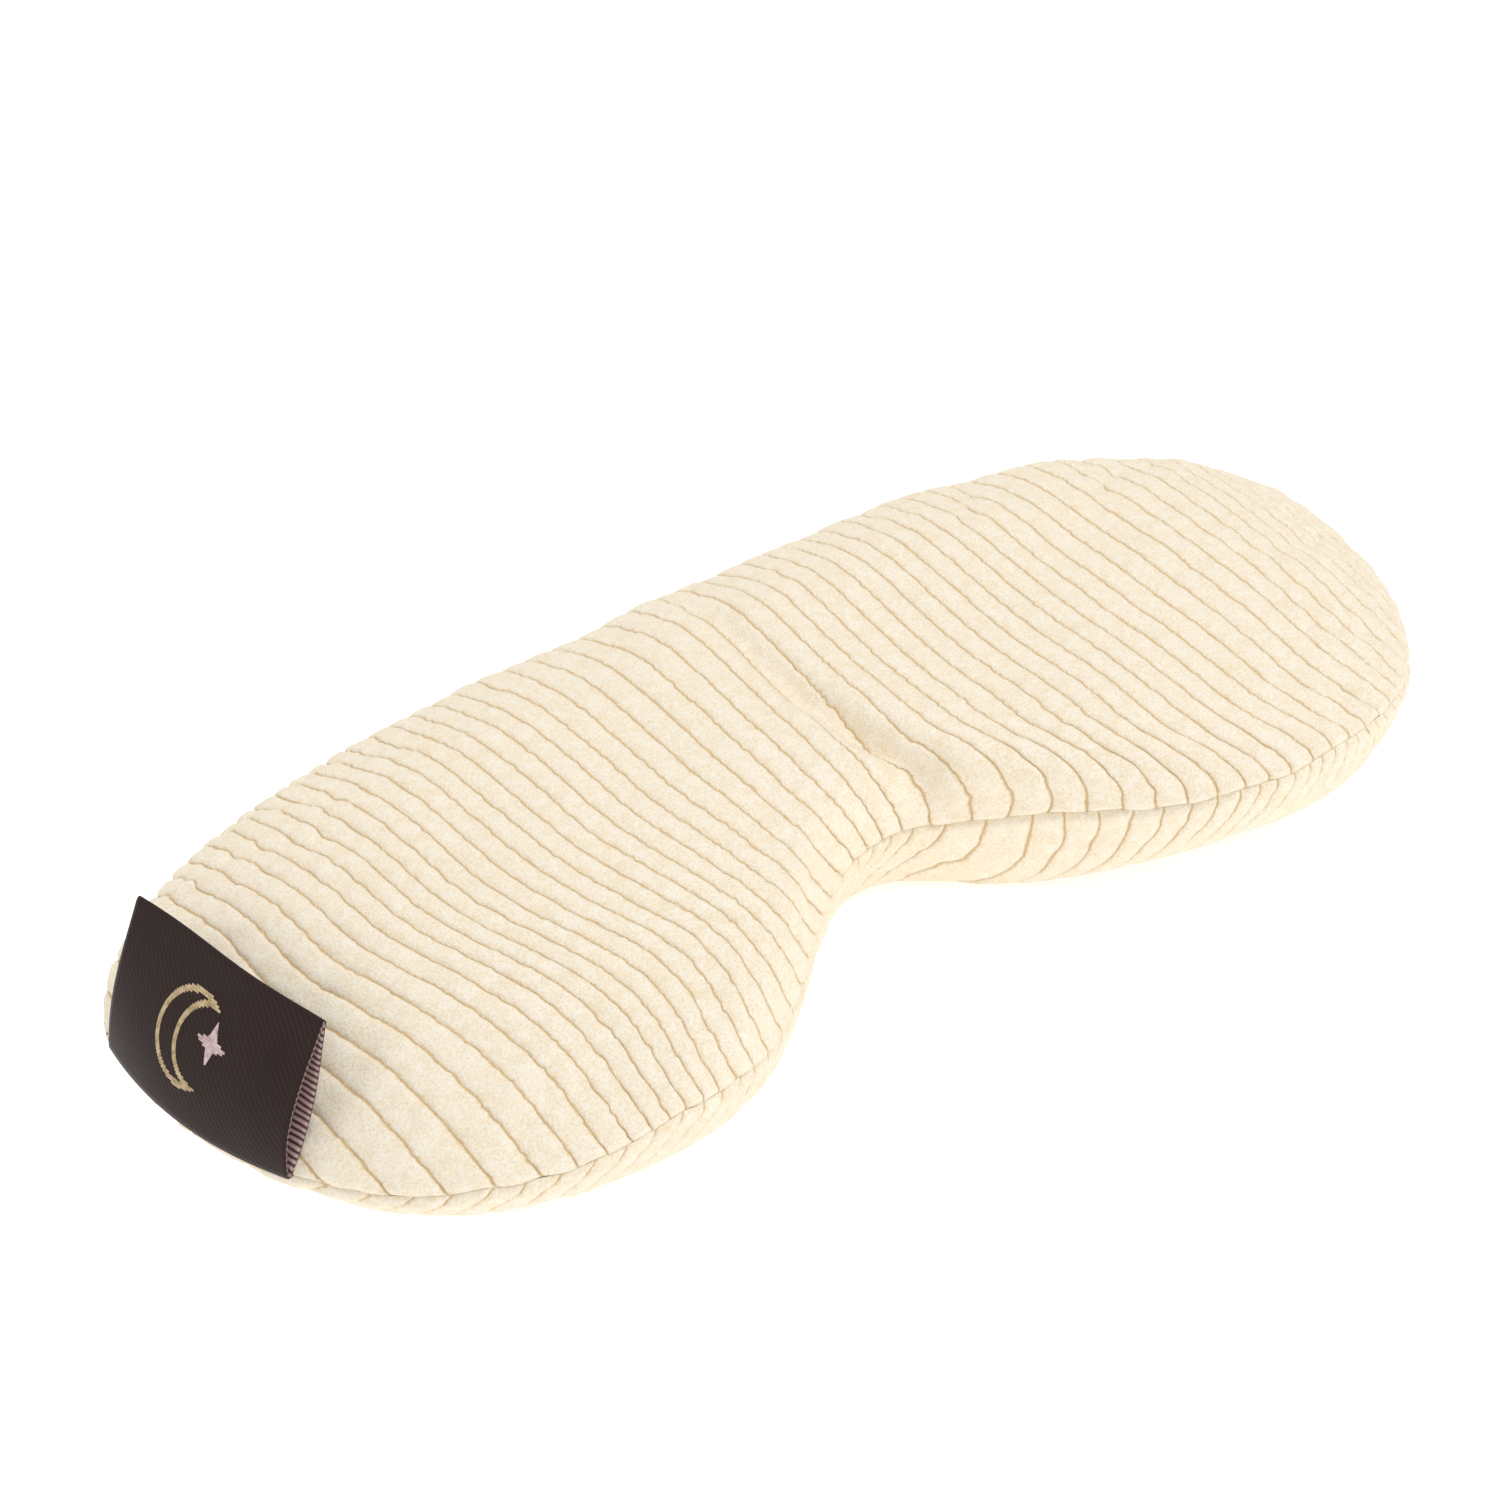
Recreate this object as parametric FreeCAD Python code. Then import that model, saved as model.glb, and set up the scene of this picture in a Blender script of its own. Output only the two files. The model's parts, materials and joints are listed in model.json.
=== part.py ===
"""Ribbed eye pillow in a sleep-mask outline, with a folded ribbon label in its seam.

The pillow lies on its flat underside. +Z is up, X runs along the pillow with the label at -X,
and the notch for the nose faces -Y. Sizes are in millimetres.

How it is put together: two cord-cloth panels are sewn round their edge and turned, so that their
seam allowances lie inside as two flanges. Inside is a thin cotton bag, made the same way, which
holds the seeds. The ribbon's two ends are sewn into the cover's seam.
"""
import FreeCAD, Part
import math
import os

Vec = FreeCAD.Vector

# Outline of the pillow, at its seam
PILLOW_LENGTH = 240.0       # end to end
NEAR_Y = -50.5              # front of the two lobes
FAR_Y = 57.5                # back edge
NOTCH_Y = -15.0             # bottom of the nose notch
LOBE_X = 65.0               # where a lobe reaches furthest forward
SHOULDER_X = 33.0           # where the back edge starts to round off
END_Y = 13.5                # where the ends reach furthest out
NOTCH_HANDLE = 20.0         # how broad the notch's bottom is
LOBE_HANDLE = 0.5           # share of LOBE_X that rounds the notch into the lobe
END_HANDLE = 0.57           # share of each end's quarter that rounds it
BACK_HANDLE = 0.4           # share of SHOULDER_X that keeps the back edge straight

# Heights
DOME_HEIGHT = 30.5          # underside to the top of the dome
SEAM_HEIGHT = 18.5          # underside to the seam
RIDGE_HALF = 45.0           # half the length of the dome's ridge line
RIDGE_Y = -4.5              # the ridge line's place across the pillow

# Cross-section, from the seam to the middle: (share of the way in, share of the height)
DOME_PROFILE = ((1.0, 0.0), (0.955, 0.45), (0.85, 1.0), (0.2, 1.0))
BASE_PROFILE = ((1.0, 0.0), (0.985, 0.55), (0.9, 1.0), (0.72, 1.0))

# Cloths and threads
COVER_CLOTH = 1.3           # thickness of the ribbed cloth
COVER_ALLOWANCE = 6.0       # seam allowance of the cover
BAG_CLOTH = 0.4             # thickness of the cotton bag
BAG_ALLOWANCE = 4.0         # seam allowance of the bag
LAYER_GAP = 0.2             # play between one layer and the next
COVER_THREAD = 0.4          # thread of the cover's seam
BAG_THREAD = 0.25           # thread of the bag's seam
THREAD_WIDTH = 0.6          # width of a row of stitches
COVER_STITCH_IN = 2.6       # from the cloth's inner face to its row of stitches
BAG_STITCH_IN = 1.2

# Turning gap, closed by hand stitches, in the front of the left lobe
CLOSING_COUNT = 7
CLOSING_PITCH = 7.0
CLOSING_X = -92.0           # the first stitch
CLOSING_BAR = 4.5           # length of a stitch
CLOSING_THREAD = 0.5
CLOSING_DEPTH = 3.2         # from the seam to the stitches

# Folded ribbon label
LABEL_WIDTH = 41.0
LABEL_LENGTH = 24.3         # from the seam to the fold
LABEL_Y = -3.7              # its middle, along the end of the pillow
LABEL_LEAN = 27.0           # degrees inwards from upright
RIBBON = 0.35               # ribbon thickness
TAIL_LENGTH = 5.5           # sewn into the seam
TAIL_PROUD = 0.6            # how far the tails stand out of the seam before they turn up
STUB_LENGTH = 2.0           # stands up from the seam without moving
FLAP_START = 3.0            # where the part that swings begins
HINGE_BOW = 0.95            # place of the straight hinge line: 0 at the ends of the seam's arc, 1 at its middle
LOOP_BASE_GAP = 0.3         # between the ribbon's two layers at the seam
LOOP_MID_GAP = 2.2          # and where the loop is widest
LOOP_TOP_GAP = 0.6          # and under the fold
LOOP_MID = 0.42             # height of the widest place, as a share of the flap

# Woven motif on the label: a crescent in outline and a small filled star
MOTIF_PROUD = 0.15
MOTIF_LINE = 0.8
MOON_RADIUS = 7.2
MOON_BITE = 5.8             # radius of the circle that cuts the crescent
MOON_BITE_SHIFT = 3.6
STAR_RADIUS = 3.2
STAR_WAIST = 1.15
STAR_POINTS = 4
STAR_SHIFT = (4.6, 1.4)     # along and up the label, from the middle of the motif
MOTIF_ALONG = -1.5
MOTIF_UP = 0.52             # height of the motif's middle, as a share of the label

HALF_LENGTH = PILLOW_LENGTH / 2
BIG = 4 * PILLOW_LENGTH


def outline_poles(inset):
    """Poles of the outline, four to a cubic piece, once round from the bottom of the notch."""
    end = (HALF_LENGTH - inset, END_Y)
    lobe = (LOBE_X, NEAR_Y + inset)
    notch = (0.0, NOTCH_Y + inset)
    shoulder = (SHOULDER_X, FAR_Y - inset)
    middle = (0.0, FAR_Y - inset)
    front_reach = (end[0] - lobe[0]) * END_HANDLE
    back_reach = (end[0] - shoulder[0]) * END_HANDLE
    right = [
        [notch, (NOTCH_HANDLE, notch[1]), (lobe[0] - LOBE_X * LOBE_HANDLE, lobe[1]), lobe],
        [lobe, (lobe[0] + front_reach, lobe[1]),
         (end[0], end[1] - (end[1] - lobe[1]) * END_HANDLE), end],
        [end, (end[0], end[1] + (shoulder[1] - end[1]) * END_HANDLE),
         (shoulder[0] + back_reach, shoulder[1]), shoulder],
        [shoulder, (shoulder[0] * (1 - BACK_HANDLE), shoulder[1]),
         (shoulder[0] * BACK_HANDLE, middle[1]), middle],
    ]
    left = [[(-x, y) for x, y in reversed(piece)] for piece in reversed(right)]
    return right + left


def bezier_edge(points):
    """One cubic edge."""
    curve = Part.BezierCurve()
    curve.setPoles([Vec(*point) for point in points])
    return curve.toShape()


def outline_face(inset, z):
    """The flat face inside the outline at height z."""
    edges = [bezier_edge([(x, y, z) for x, y in piece]) for piece in outline_poles(inset)]
    return Part.Face(Part.Wire(edges))


def outline_prism(inset, z_low, z_high):
    """The outline as a straight-sided block."""
    return outline_face(inset, z_low).extrude(Vec(0, 0, z_high - z_low))


def towards_ridge(x, y, share):
    """A point's place when it has gone in towards the ridge line; a share of 1 leaves it there."""
    ridge_x = x * RIDGE_HALF / HALF_LENGTH
    return ridge_x + (x - ridge_x) * share, RIDGE_Y + (y - RIDGE_Y) * share


def sheet(inset, z_seam, z_end, profile):
    """Curved faces from the seam to a flat cap, and the cap."""
    faces = []
    rim = []
    for piece in outline_poles(inset):
        rows = []
        for share, rise in profile:
            z = z_seam + (z_end - z_seam) * rise
            rows.append([Vec(*towards_ridge(x, y, share), z) for x, y in piece])
        surface = Part.BezierSurface()
        surface.increase(3, 3)
        for i, row in enumerate(rows):
            for j, pole in enumerate(row):
                surface.setPole(j + 1, i + 1, pole)
        faces.append(surface.toShape())
        rim.append(bezier_edge([tuple(pole) for pole in rows[-1]]))
    faces.append(Part.Face(Part.Wire(rim)))
    return faces


def lens(inset, lift):
    """The pillow's solid form, with each side brought in by inset and lift."""
    faces = sheet(inset, SEAM_HEIGHT, DOME_HEIGHT - lift, DOME_PROFILE)
    faces += sheet(inset, SEAM_HEIGHT, lift, BASE_PROFILE)
    shell = Part.makeShell(faces)
    shell.sewShape()
    solid = Part.Solid(Part.Shell(shell.Faces))
    if solid.Volume < 0:
        solid.reverse()
    return solid


def above(solid, z):
    """The part of a solid above height z."""
    return solid.common(Part.makeBox(2 * BIG, 2 * BIG, BIG, Vec(-BIG, -BIG, z)))


def below(solid, z):
    """The part of a solid below height z."""
    return solid.common(Part.makeBox(2 * BIG, 2 * BIG, BIG, Vec(-BIG, -BIG, z - BIG)))


def panels(inset, lift, cloth, allowance):
    """The top and bottom cloth of a sewn and turned cover: a wall each, with a flange inside."""
    outer = lens(inset, lift)
    inner = lens(inset + cloth, lift + cloth)
    inside_flange = inset + cloth + allowance
    top = above(outer, SEAM_HEIGHT)
    top = top.cut(above(inner, SEAM_HEIGHT + cloth))
    top = top.cut(outline_prism(inside_flange, SEAM_HEIGHT - cloth, SEAM_HEIGHT + 2 * cloth))
    bottom = below(outer, SEAM_HEIGHT)
    bottom = bottom.cut(below(inner, SEAM_HEIGHT - cloth))
    bottom = bottom.cut(outline_prism(inside_flange, SEAM_HEIGHT - 2 * cloth, SEAM_HEIGHT + cloth))
    return top, bottom


def ring(inset, width, z_low, z_high):
    """A flat band that follows the outline."""
    hole = outline_prism(inset + width, z_low - 1, z_high + 1)
    return outline_prism(inset, z_low, z_high).cut(hole)


def bezier_at(piece, t):
    """The point and the direction of one cubic piece of the outline."""
    weights = ((1 - t) ** 3, 3 * (1 - t) ** 2 * t, 3 * (1 - t) * t ** 2, t ** 3)
    slopes = (-3 * (1 - t) ** 2, 3 * (1 - t) * (1 - 3 * t), 3 * t * (2 - 3 * t), 3 * t ** 2)
    point, slope = Vec(), Vec()
    for weight, rate, (x, y) in zip(weights, slopes, piece):
        point += Vec(x, y, 0) * weight
        slope += Vec(x, y, 0) * rate
    return point, slope.normalize()


def outline_point(pieces, axis, value):
    """Where the outline crosses a value of x (axis 0) or y (axis 1) on one of the pieces given."""
    for piece in pieces:
        low, high = 0.0, 1.0
        start = bezier_at(piece, low)[0][axis] - value
        finish = bezier_at(piece, high)[0][axis] - value
        if start * finish > 0:
            continue
        for _ in range(50):
            t = (low + high) / 2
            if (bezier_at(piece, t)[0][axis] - value) * start > 0:
                low = t
            else:
                high = t
        return bezier_at(piece, low)
    raise ValueError("the outline doesn't reach that far")


# Cover, bag, filling and the threads of the two seams
top_panel, bottom_panel = panels(0.0, 0.0, COVER_CLOTH, COVER_ALLOWANCE)
bag_inset = COVER_CLOTH + COVER_ALLOWANCE + LAYER_GAP
bag_lift = COVER_CLOTH + LAYER_GAP
bag_top, bag_bottom = panels(bag_inset, bag_lift, BAG_CLOTH, BAG_ALLOWANCE)

seed_inset = bag_inset + BAG_CLOTH + LAYER_GAP
seeds = lens(seed_inset, bag_lift + BAG_CLOTH + LAYER_GAP)
flange_room = BAG_CLOTH + BAG_THREAD + LAYER_GAP
seeds = seeds.cut(ring(seed_inset - 1, BAG_ALLOWANCE + 1,
                       SEAM_HEIGHT - flange_room, SEAM_HEIGHT + flange_room))


def seam_threads(inset, cloth, stitch_in, thread):
    """The two threads of a lockstitch: one on each flange."""
    place = inset + cloth + stitch_in
    needle = ring(place, THREAD_WIDTH, SEAM_HEIGHT + cloth, SEAM_HEIGHT + cloth + thread)
    bobbin = ring(place, THREAD_WIDTH, SEAM_HEIGHT - cloth - thread, SEAM_HEIGHT - cloth)
    return needle, bobbin


needle_thread, bobbin_thread = seam_threads(0.0, COVER_CLOTH, COVER_STITCH_IN, COVER_THREAD)
bag_needle, bag_bobbin = seam_threads(bag_inset, BAG_CLOTH, BAG_STITCH_IN, BAG_THREAD)

# The machine seam leaves the turning gap open, and hand stitches close it
closing_span = CLOSING_PITCH * (CLOSING_COUNT - 1) + CLOSING_BAR
turning_gap = Part.makeBox(closing_span + CLOSING_PITCH, HALF_LENGTH, 2 * DOME_HEIGHT,
                           Vec(CLOSING_X - CLOSING_PITCH / 2, RIDGE_Y - HALF_LENGTH, -DOME_HEIGHT / 2))
needle_thread = needle_thread.cut(turning_gap)
bobbin_thread = bobbin_thread.cut(turning_gap)


def hand_stitch(x):
    """A stitch through both flanges: two legs and the bars that join them above and below."""
    front = [piece for piece in outline_poles(CLOSING_DEPTH) if piece[1][1] < END_Y]
    point, tangent = outline_point(front, 0, x)
    if tangent.x < 0:
        tangent = tangent.negative()
    turn = math.degrees(math.atan2(tangent.y, tangent.x))
    reach = COVER_CLOTH + CLOSING_THREAD
    parts = []
    for start in (0.0, CLOSING_BAR - CLOSING_THREAD):
        parts.append(Part.makeBox(CLOSING_THREAD, CLOSING_THREAD, 2 * reach, Vec(start, 0, -reach)))
    for z in (COVER_CLOTH, -reach):
        parts.append(Part.makeBox(CLOSING_BAR, CLOSING_THREAD, CLOSING_THREAD, Vec(0, 0, z)))
    stitch = parts[0].multiFuse(parts[1:]).removeSplitter()
    stitch.rotate(Vec(0, 0, 0), Vec(0, 0, 1), turn)
    stitch.translate(Vec(point.x, point.y, SEAM_HEIGHT))
    return stitch


closing = [hand_stitch(CLOSING_X + i * CLOSING_PITCH) for i in range(CLOSING_COUNT)]
closing_stitches = Part.makeCompound(closing)
for stitch in closing:
    top_panel = top_panel.cut(stitch)
    bottom_panel = bottom_panel.cut(stitch)

# Label: its line along the seam, and the directions across the seam and up the ribbon
left_end = [piece for piece in outline_poles(0.0) if piece[0][0] < -LOBE_X or piece[3][0] < -LOBE_X]
label_mid, tangent_there = outline_point(left_end, 1, LABEL_Y)
rough_reach = LABEL_WIDTH / 2 * abs(tangent_there.y)
label_back = outline_point(left_end, 1, LABEL_Y + rough_reach)[0]
label_front = outline_point(left_end, 1, LABEL_Y - rough_reach)[0]
along = (label_front - label_back).normalize()
inwards = Vec(0, 0, 1).cross(along)
lean = math.radians(LABEL_LEAN)
up = Vec(0, 0, math.cos(lean)) + inwards * math.sin(lean)
seam_level = Vec(0, 0, SEAM_HEIGHT)


def curved_strip(near, far, z):
    """A strip of cloth that follows the seam, between two distances inwards from it."""
    edges = []
    for distance in (near, far):
        shift = inwards * distance + Vec(0, 0, z)
        edges.append(Part.Arc(label_back + shift, label_mid + shift, label_front + shift).toShape())
    sides = [Part.makeLine(edges[0].Vertexes[i].Point, edges[1].Vertexes[i].Point) for i in (0, 1)]
    return Part.Face(Part.Wire(Part.__sortEdges__(edges + sides)))


# Tails: two layers between the flanges, out of the seam, and up as a short stub
tails = curved_strip(-TAIL_PROUD, TAIL_LENGTH, SEAM_HEIGHT - RIBBON).extrude(Vec(0, 0, 2 * RIBBON))
top_panel = top_panel.cut(tails)
bottom_panel = bottom_panel.cut(tails)
stub = curved_strip(-TAIL_PROUD - 2 * RIBBON, -TAIL_PROUD, SEAM_HEIGHT - RIBBON)
stub = stub.extrude(up * (STUB_LENGTH + RIBBON / math.cos(lean)))
clear_of_dome = lens(-LAYER_GAP / 2, -LAYER_GAP / 2)
label_tails = tails.fuse(stub.cut(clear_of_dome)).removeSplitter()

# Flap: a straight loop of ribbon on the hinge line, which lies between the arc's middle and its ends
chord_mid = (label_back + label_front) * 0.5
bow = (label_mid - chord_mid).dot(inwards)
hinge_in = bow * HINGE_BOW - TAIL_PROUD - RIBBON
hinge_point = chord_mid + inwards * hinge_in + seam_level + up * FLAP_START
flap_length = LABEL_LENGTH - FLAP_START


def straight_prism(near, far, low, high, near_shift=0.0, far_shift=0.0):
    """A straight slab of the flap between two heights, whose top may stand further in than its base."""
    start = hinge_point - along * (LABEL_WIDTH / 2) + up * low
    finish = hinge_point - along * (LABEL_WIDTH / 2) + up * high
    corners = [start + inwards * near, start + inwards * far,
               finish + inwards * (far + far_shift), finish + inwards * (near + near_shift)]
    profile = Part.Face(Part.makePolygon(corners + corners[:1]))
    return profile.extrude(along * LABEL_WIDTH)


front_face = -LOOP_BASE_GAP / 2 - RIBBON
back_face = LOOP_BASE_GAP / 2
mid_height = flap_length * LOOP_MID
widening = LOOP_MID_GAP - LOOP_BASE_GAP
narrowing = LOOP_TOP_GAP - LOOP_MID_GAP
fold_start = flap_length - RIBBON
flap_parts = [
    straight_prism(front_face, front_face + RIBBON, 0, flap_length),
    straight_prism(back_face, back_face + RIBBON, 0, mid_height, widening, widening),
    straight_prism(back_face + widening, back_face + widening + RIBBON, mid_height, flap_length,
                   narrowing, narrowing),
    straight_prism(front_face, back_face + widening + narrowing + RIBBON, fold_start, flap_length),
    straight_prism(front_face, back_face + RIBBON, 0, RIBBON),
]
woven_label = flap_parts[0].multiFuse(flap_parts[1:]).removeSplitter()

# Motif: prisms that stand proud of the label's front
motif_mid = hinge_point + up * (LABEL_LENGTH * MOTIF_UP - FLAP_START) + along * MOTIF_ALONG
motif_mid = motif_mid + inwards * front_face
face_normal = along.cross(up).normalize()
if face_normal.dot(inwards) > 0:
    face_normal = face_normal.negative()


def on_label(across, height):
    """A point of the motif, from its middle."""
    return motif_mid + along * across + up * height


def disc(across, height, radius):
    """A round prism that stands proud of the label."""
    rim = Part.Circle(on_label(across, height), face_normal, radius)
    return Part.Face(Part.Wire(rim.toShape())).extrude(face_normal * MOTIF_PROUD)


def crescent(shrink):
    """The crescent, with its edge drawn in by shrink."""
    return disc(0, 0, MOON_RADIUS - shrink).cut(disc(MOON_BITE_SHIFT, 0, MOON_BITE + shrink))


moon_outline = crescent(0.0).cut(crescent(MOTIF_LINE))
star_corners = []
for i in range(2 * STAR_POINTS):
    reach = STAR_WAIST if i % 2 else STAR_RADIUS
    turn = math.pi * i / STAR_POINTS
    across = STAR_SHIFT[0] + reach * math.sin(turn)
    height = STAR_SHIFT[1] + reach * math.cos(turn)
    star_corners.append(on_label(across, height))
star = Part.Face(Part.makePolygon(star_corners + star_corners[:1])).extrude(face_normal * MOTIF_PROUD)

nodes = {
    "top_panel": top_panel,
    "bottom_panel": bottom_panel,
    "needle_thread": needle_thread,
    "bobbin_thread": bobbin_thread,
    "closing_stitches": closing_stitches,
    "inner_bag_top": bag_top,
    "inner_bag_bottom": bag_bottom,
    "inner_bag_needle_thread": bag_needle,
    "inner_bag_bobbin_thread": bag_bobbin,
    "seed_filling": seeds,
    "label_tails": label_tails,
    "woven_label": woven_label,
    "label_moon": moon_outline,
    "label_star": star,
}

# The origin is under the middle of everything
whole = Part.makeCompound(list(nodes.values())).BoundBox
to_origin = Vec(-whole.Center.x, -whole.Center.y, -whole.ZMin)
os.makedirs("parts", exist_ok=True)
for name, shape in nodes.items():
    shape.translate(to_origin)
    shape.exportStep("parts/" + name + ".step")
    print(name, "solids", len(shape.Solids), "volume", round(shape.Volume, 2), "valid", shape.isValid())

print("size", round(whole.XLength, 2), round(whole.YLength, 2), round(whole.ZLength, 2))
print("origin shift", [round(c, 3) for c in to_origin])
print("hinge", [round(c, 3) for c in hinge_point + to_origin], "axis", [round(c, 4) for c in along])
print("flap up", [round(c, 4) for c in up], "inwards", [round(c, 4) for c in inwards], "bow", round(bow, 2))
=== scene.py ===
"""Wide-wale corduroy eye pillow with a folded woven label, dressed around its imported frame.

Sizes in the classes are in millimetres, and meshes are made in metres in the frame's axes:
X runs along the pillow, Y across it and away from the nose notch, Z up from the table.
"""

import json
import logging
import math
from collections.abc import Callable
from dataclasses import dataclass
from enum import Enum

import bpy
import numpy as np
from mathutils import Matrix, Vector


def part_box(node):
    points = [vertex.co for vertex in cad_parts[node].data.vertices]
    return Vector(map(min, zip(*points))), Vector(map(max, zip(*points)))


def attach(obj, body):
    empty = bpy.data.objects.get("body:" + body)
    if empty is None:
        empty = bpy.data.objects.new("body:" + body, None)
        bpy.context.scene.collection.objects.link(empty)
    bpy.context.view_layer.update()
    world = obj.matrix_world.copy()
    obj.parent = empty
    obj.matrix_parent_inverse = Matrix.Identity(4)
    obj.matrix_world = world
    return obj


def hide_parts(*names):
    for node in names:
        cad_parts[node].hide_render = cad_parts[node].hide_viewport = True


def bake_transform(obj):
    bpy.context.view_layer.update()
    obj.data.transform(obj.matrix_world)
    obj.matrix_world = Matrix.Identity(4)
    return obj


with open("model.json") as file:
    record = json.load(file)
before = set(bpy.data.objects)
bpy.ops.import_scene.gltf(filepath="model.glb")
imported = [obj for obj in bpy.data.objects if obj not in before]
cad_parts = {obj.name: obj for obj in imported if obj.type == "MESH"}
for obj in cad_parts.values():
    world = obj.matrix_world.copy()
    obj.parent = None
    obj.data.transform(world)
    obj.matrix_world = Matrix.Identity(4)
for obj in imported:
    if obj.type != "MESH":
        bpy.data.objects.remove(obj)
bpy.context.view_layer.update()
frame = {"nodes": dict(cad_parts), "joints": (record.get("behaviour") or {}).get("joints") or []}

MM = 0.001
LOG = logging.getLogger("eye_pillow")
# Least length that is divided by
TINY = 1e-12
# A wave texture repeats every 2 pi / 20 units at a scale of 1
WAVE_PERIOD = math.pi / 10
# Two distances between which something comes in
Band = tuple[float, float]


class Body(Enum):
    """The frame's moving bodies."""

    PILLOW = "pillow"
    LABEL_FLAP = "label_flap"


class Slot(Enum):
    """The record's material slots."""

    CORD_CLOTH = "cord_cloth"
    COTTON_BAG = "cotton_bag"
    SEWING_THREAD = "sewing_thread"
    SEEDS = "seeds"
    LABEL_RIBBON = "label_ribbon"
    BEIGE_WEFT = "beige_weft"
    ROSE_WEFT = "rose_weft"


def linear(hex_code: str) -> tuple[float, float, float, float]:
    """Turns an sRGB hex colour into linear values.

    Args:
        hex_code: six hex digits, with or without a leading #.

    Returns:
        Linear red, green, blue and an alpha of 1.
    """
    digits = hex_code.lstrip("#")
    channels = [int(digits[i:i + 2], 16) / 255 for i in (0, 2, 4)]
    return (*[c / 12.92 if c <= 0.04045 else ((c + 0.055) / 1.055) ** 2.4 for c in channels], 1.0)


def feed(tree: bpy.types.NodeTree, node: bpy.types.Node, inputs: dict) -> None:
    """Feeds a shader node's inputs.

    Args:
        tree: the material's node tree.
        node: the node to feed.
        inputs: a value, or an output socket to link, for each input's name or number.
    """
    for key, value in inputs.items():
        if isinstance(value, bpy.types.NodeSocket):
            tree.links.new(value, node.inputs[key])
        else:
            node.inputs[key].default_value = value


def add_node(tree: bpy.types.NodeTree, kind: str, inputs: dict | None = None,
             **settings: object) -> bpy.types.Node:
    """Adds a shader node, sets its fields and feeds its inputs.

    Args:
        tree: the material's node tree.
        kind: the node's Blender type name.
        inputs: what feeds it.
        settings: the node's own fields.

    Returns:
        The new node.
    """
    node = tree.nodes.new(kind)
    for field_name, value in settings.items():
        setattr(node, field_name, value)
    feed(tree, node, inputs or {})
    return node


def smooth_step(value: np.ndarray, start: float, end: float) -> np.ndarray:
    """Eases from 0 at start to 1 at end."""
    share = np.clip((value - start) / (end - start), 0, 1)
    return share * share * (3 - 2 * share)


def unit(vectors: np.ndarray) -> np.ndarray:
    """Scales vectors, held in the last axis, to a length of 1."""
    return vectors / np.maximum(np.linalg.norm(vectors, axis=-1, keepdims=True), TINY)


def bezier(poles: np.ndarray, share: np.ndarray) -> np.ndarray:
    """Evaluates a cubic Bezier curve.

    Args:
        poles: its four control points.
        share: places along it, from 0 to 1.

    Returns:
        One point for each place.
    """
    poles = np.asarray(poles, float)
    t = np.asarray(share, float)[:, None]
    return ((1 - t) ** 3 * poles[0] + 3 * t * (1 - t) ** 2 * poles[1]
            + 3 * t * t * (1 - t) * poles[2] + t ** 3 * poles[3])


def grid_faces(columns: int, rows: int, flipped: bool = False, closed: bool = False) -> np.ndarray:
    """Quads of a grid whose points are numbered column by column.

    Args:
        columns: how many columns of points.
        rows: how many points in each column.
        flipped: turns the faces over.
        closed: joins the last column to the first.

    Returns:
        Four point numbers for each face.
    """
    i, j = np.meshgrid(np.arange(columns if closed else columns - 1), np.arange(rows - 1), indexing="ij")
    i, j = i.ravel(), j.ravel()
    following = (i + 1) % columns
    quads = np.stack([i * rows + j, following * rows + j, following * rows + j + 1, i * rows + j + 1], 1)
    return quads[:, ::-1] if flipped else quads


def make_mesh(name: str, points: np.ndarray, faces: np.ndarray | list,
              attributes: dict[str, np.ndarray] | None = None) -> bpy.types.Object:
    """Makes a smooth-shaded mesh object.

    Args:
        name: the object's name.
        points: corner places in millimetres.
        faces: point numbers of each face.
        attributes: named numbers, one for each point, that the finishes read.

    Returns:
        The object, linked to the scene.
    """
    mesh = bpy.data.meshes.new(name)
    mesh.from_pydata((points.reshape(-1, 3) * MM).tolist(), [], [list(map(int, f)) for f in faces])
    for key, values in (attributes or {}).items():
        mesh.attributes.new(key, "FLOAT", "POINT").data.foreach_set(
            "value", np.ascontiguousarray(values, np.float32).ravel())
    mesh.shade_smooth()
    mesh.update()
    piece = bpy.data.objects.new(name, mesh)
    bpy.context.scene.collection.objects.link(piece)
    return piece


def blend_table(xs: tuple[float, ...], ys: tuple[float, ...], table: tuple[tuple[float, ...], ...],
                x: np.ndarray, y: np.ndarray) -> np.ndarray:
    """Reads a small evenly spaced table with smooth cubic blending between its entries.

    Args:
        xs: the columns' places.
        ys: the rows' places.
        table: one row for each place in ys.
        x: where to read it, across.
        y: where to read it, along.

    Returns:
        The blended values.
    """
    values = np.asarray(table, float)
    total = np.zeros(np.shape(x))
    weights = []
    for places, at in ((ys, y), (xs, x)):
        # Kept a hair before the last entry, so that there is always a cell to blend in
        spot = np.clip((at - places[0]) / (places[1] - places[0]), 0, len(places) - 1.001)
        cell = np.floor(spot).astype(int)
        t = spot - cell
        weights.append((cell, (-0.5 * t + t * t - 0.5 * t ** 3, 1 - 2.5 * t * t + 1.5 * t ** 3,
                               0.5 * t + 2 * t * t - 1.5 * t ** 3, -0.5 * t * t + 0.5 * t ** 3)))
    (row, row_weights), (column, column_weights) = weights
    for i, row_weight in enumerate(row_weights):
        for j, column_weight in enumerate(column_weights):
            entry = values[np.clip(row + i - 1, 0, len(ys) - 1), np.clip(column + j - 1, 0, len(xs) - 1)]
            total += row_weight * column_weight * entry
    return total


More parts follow.
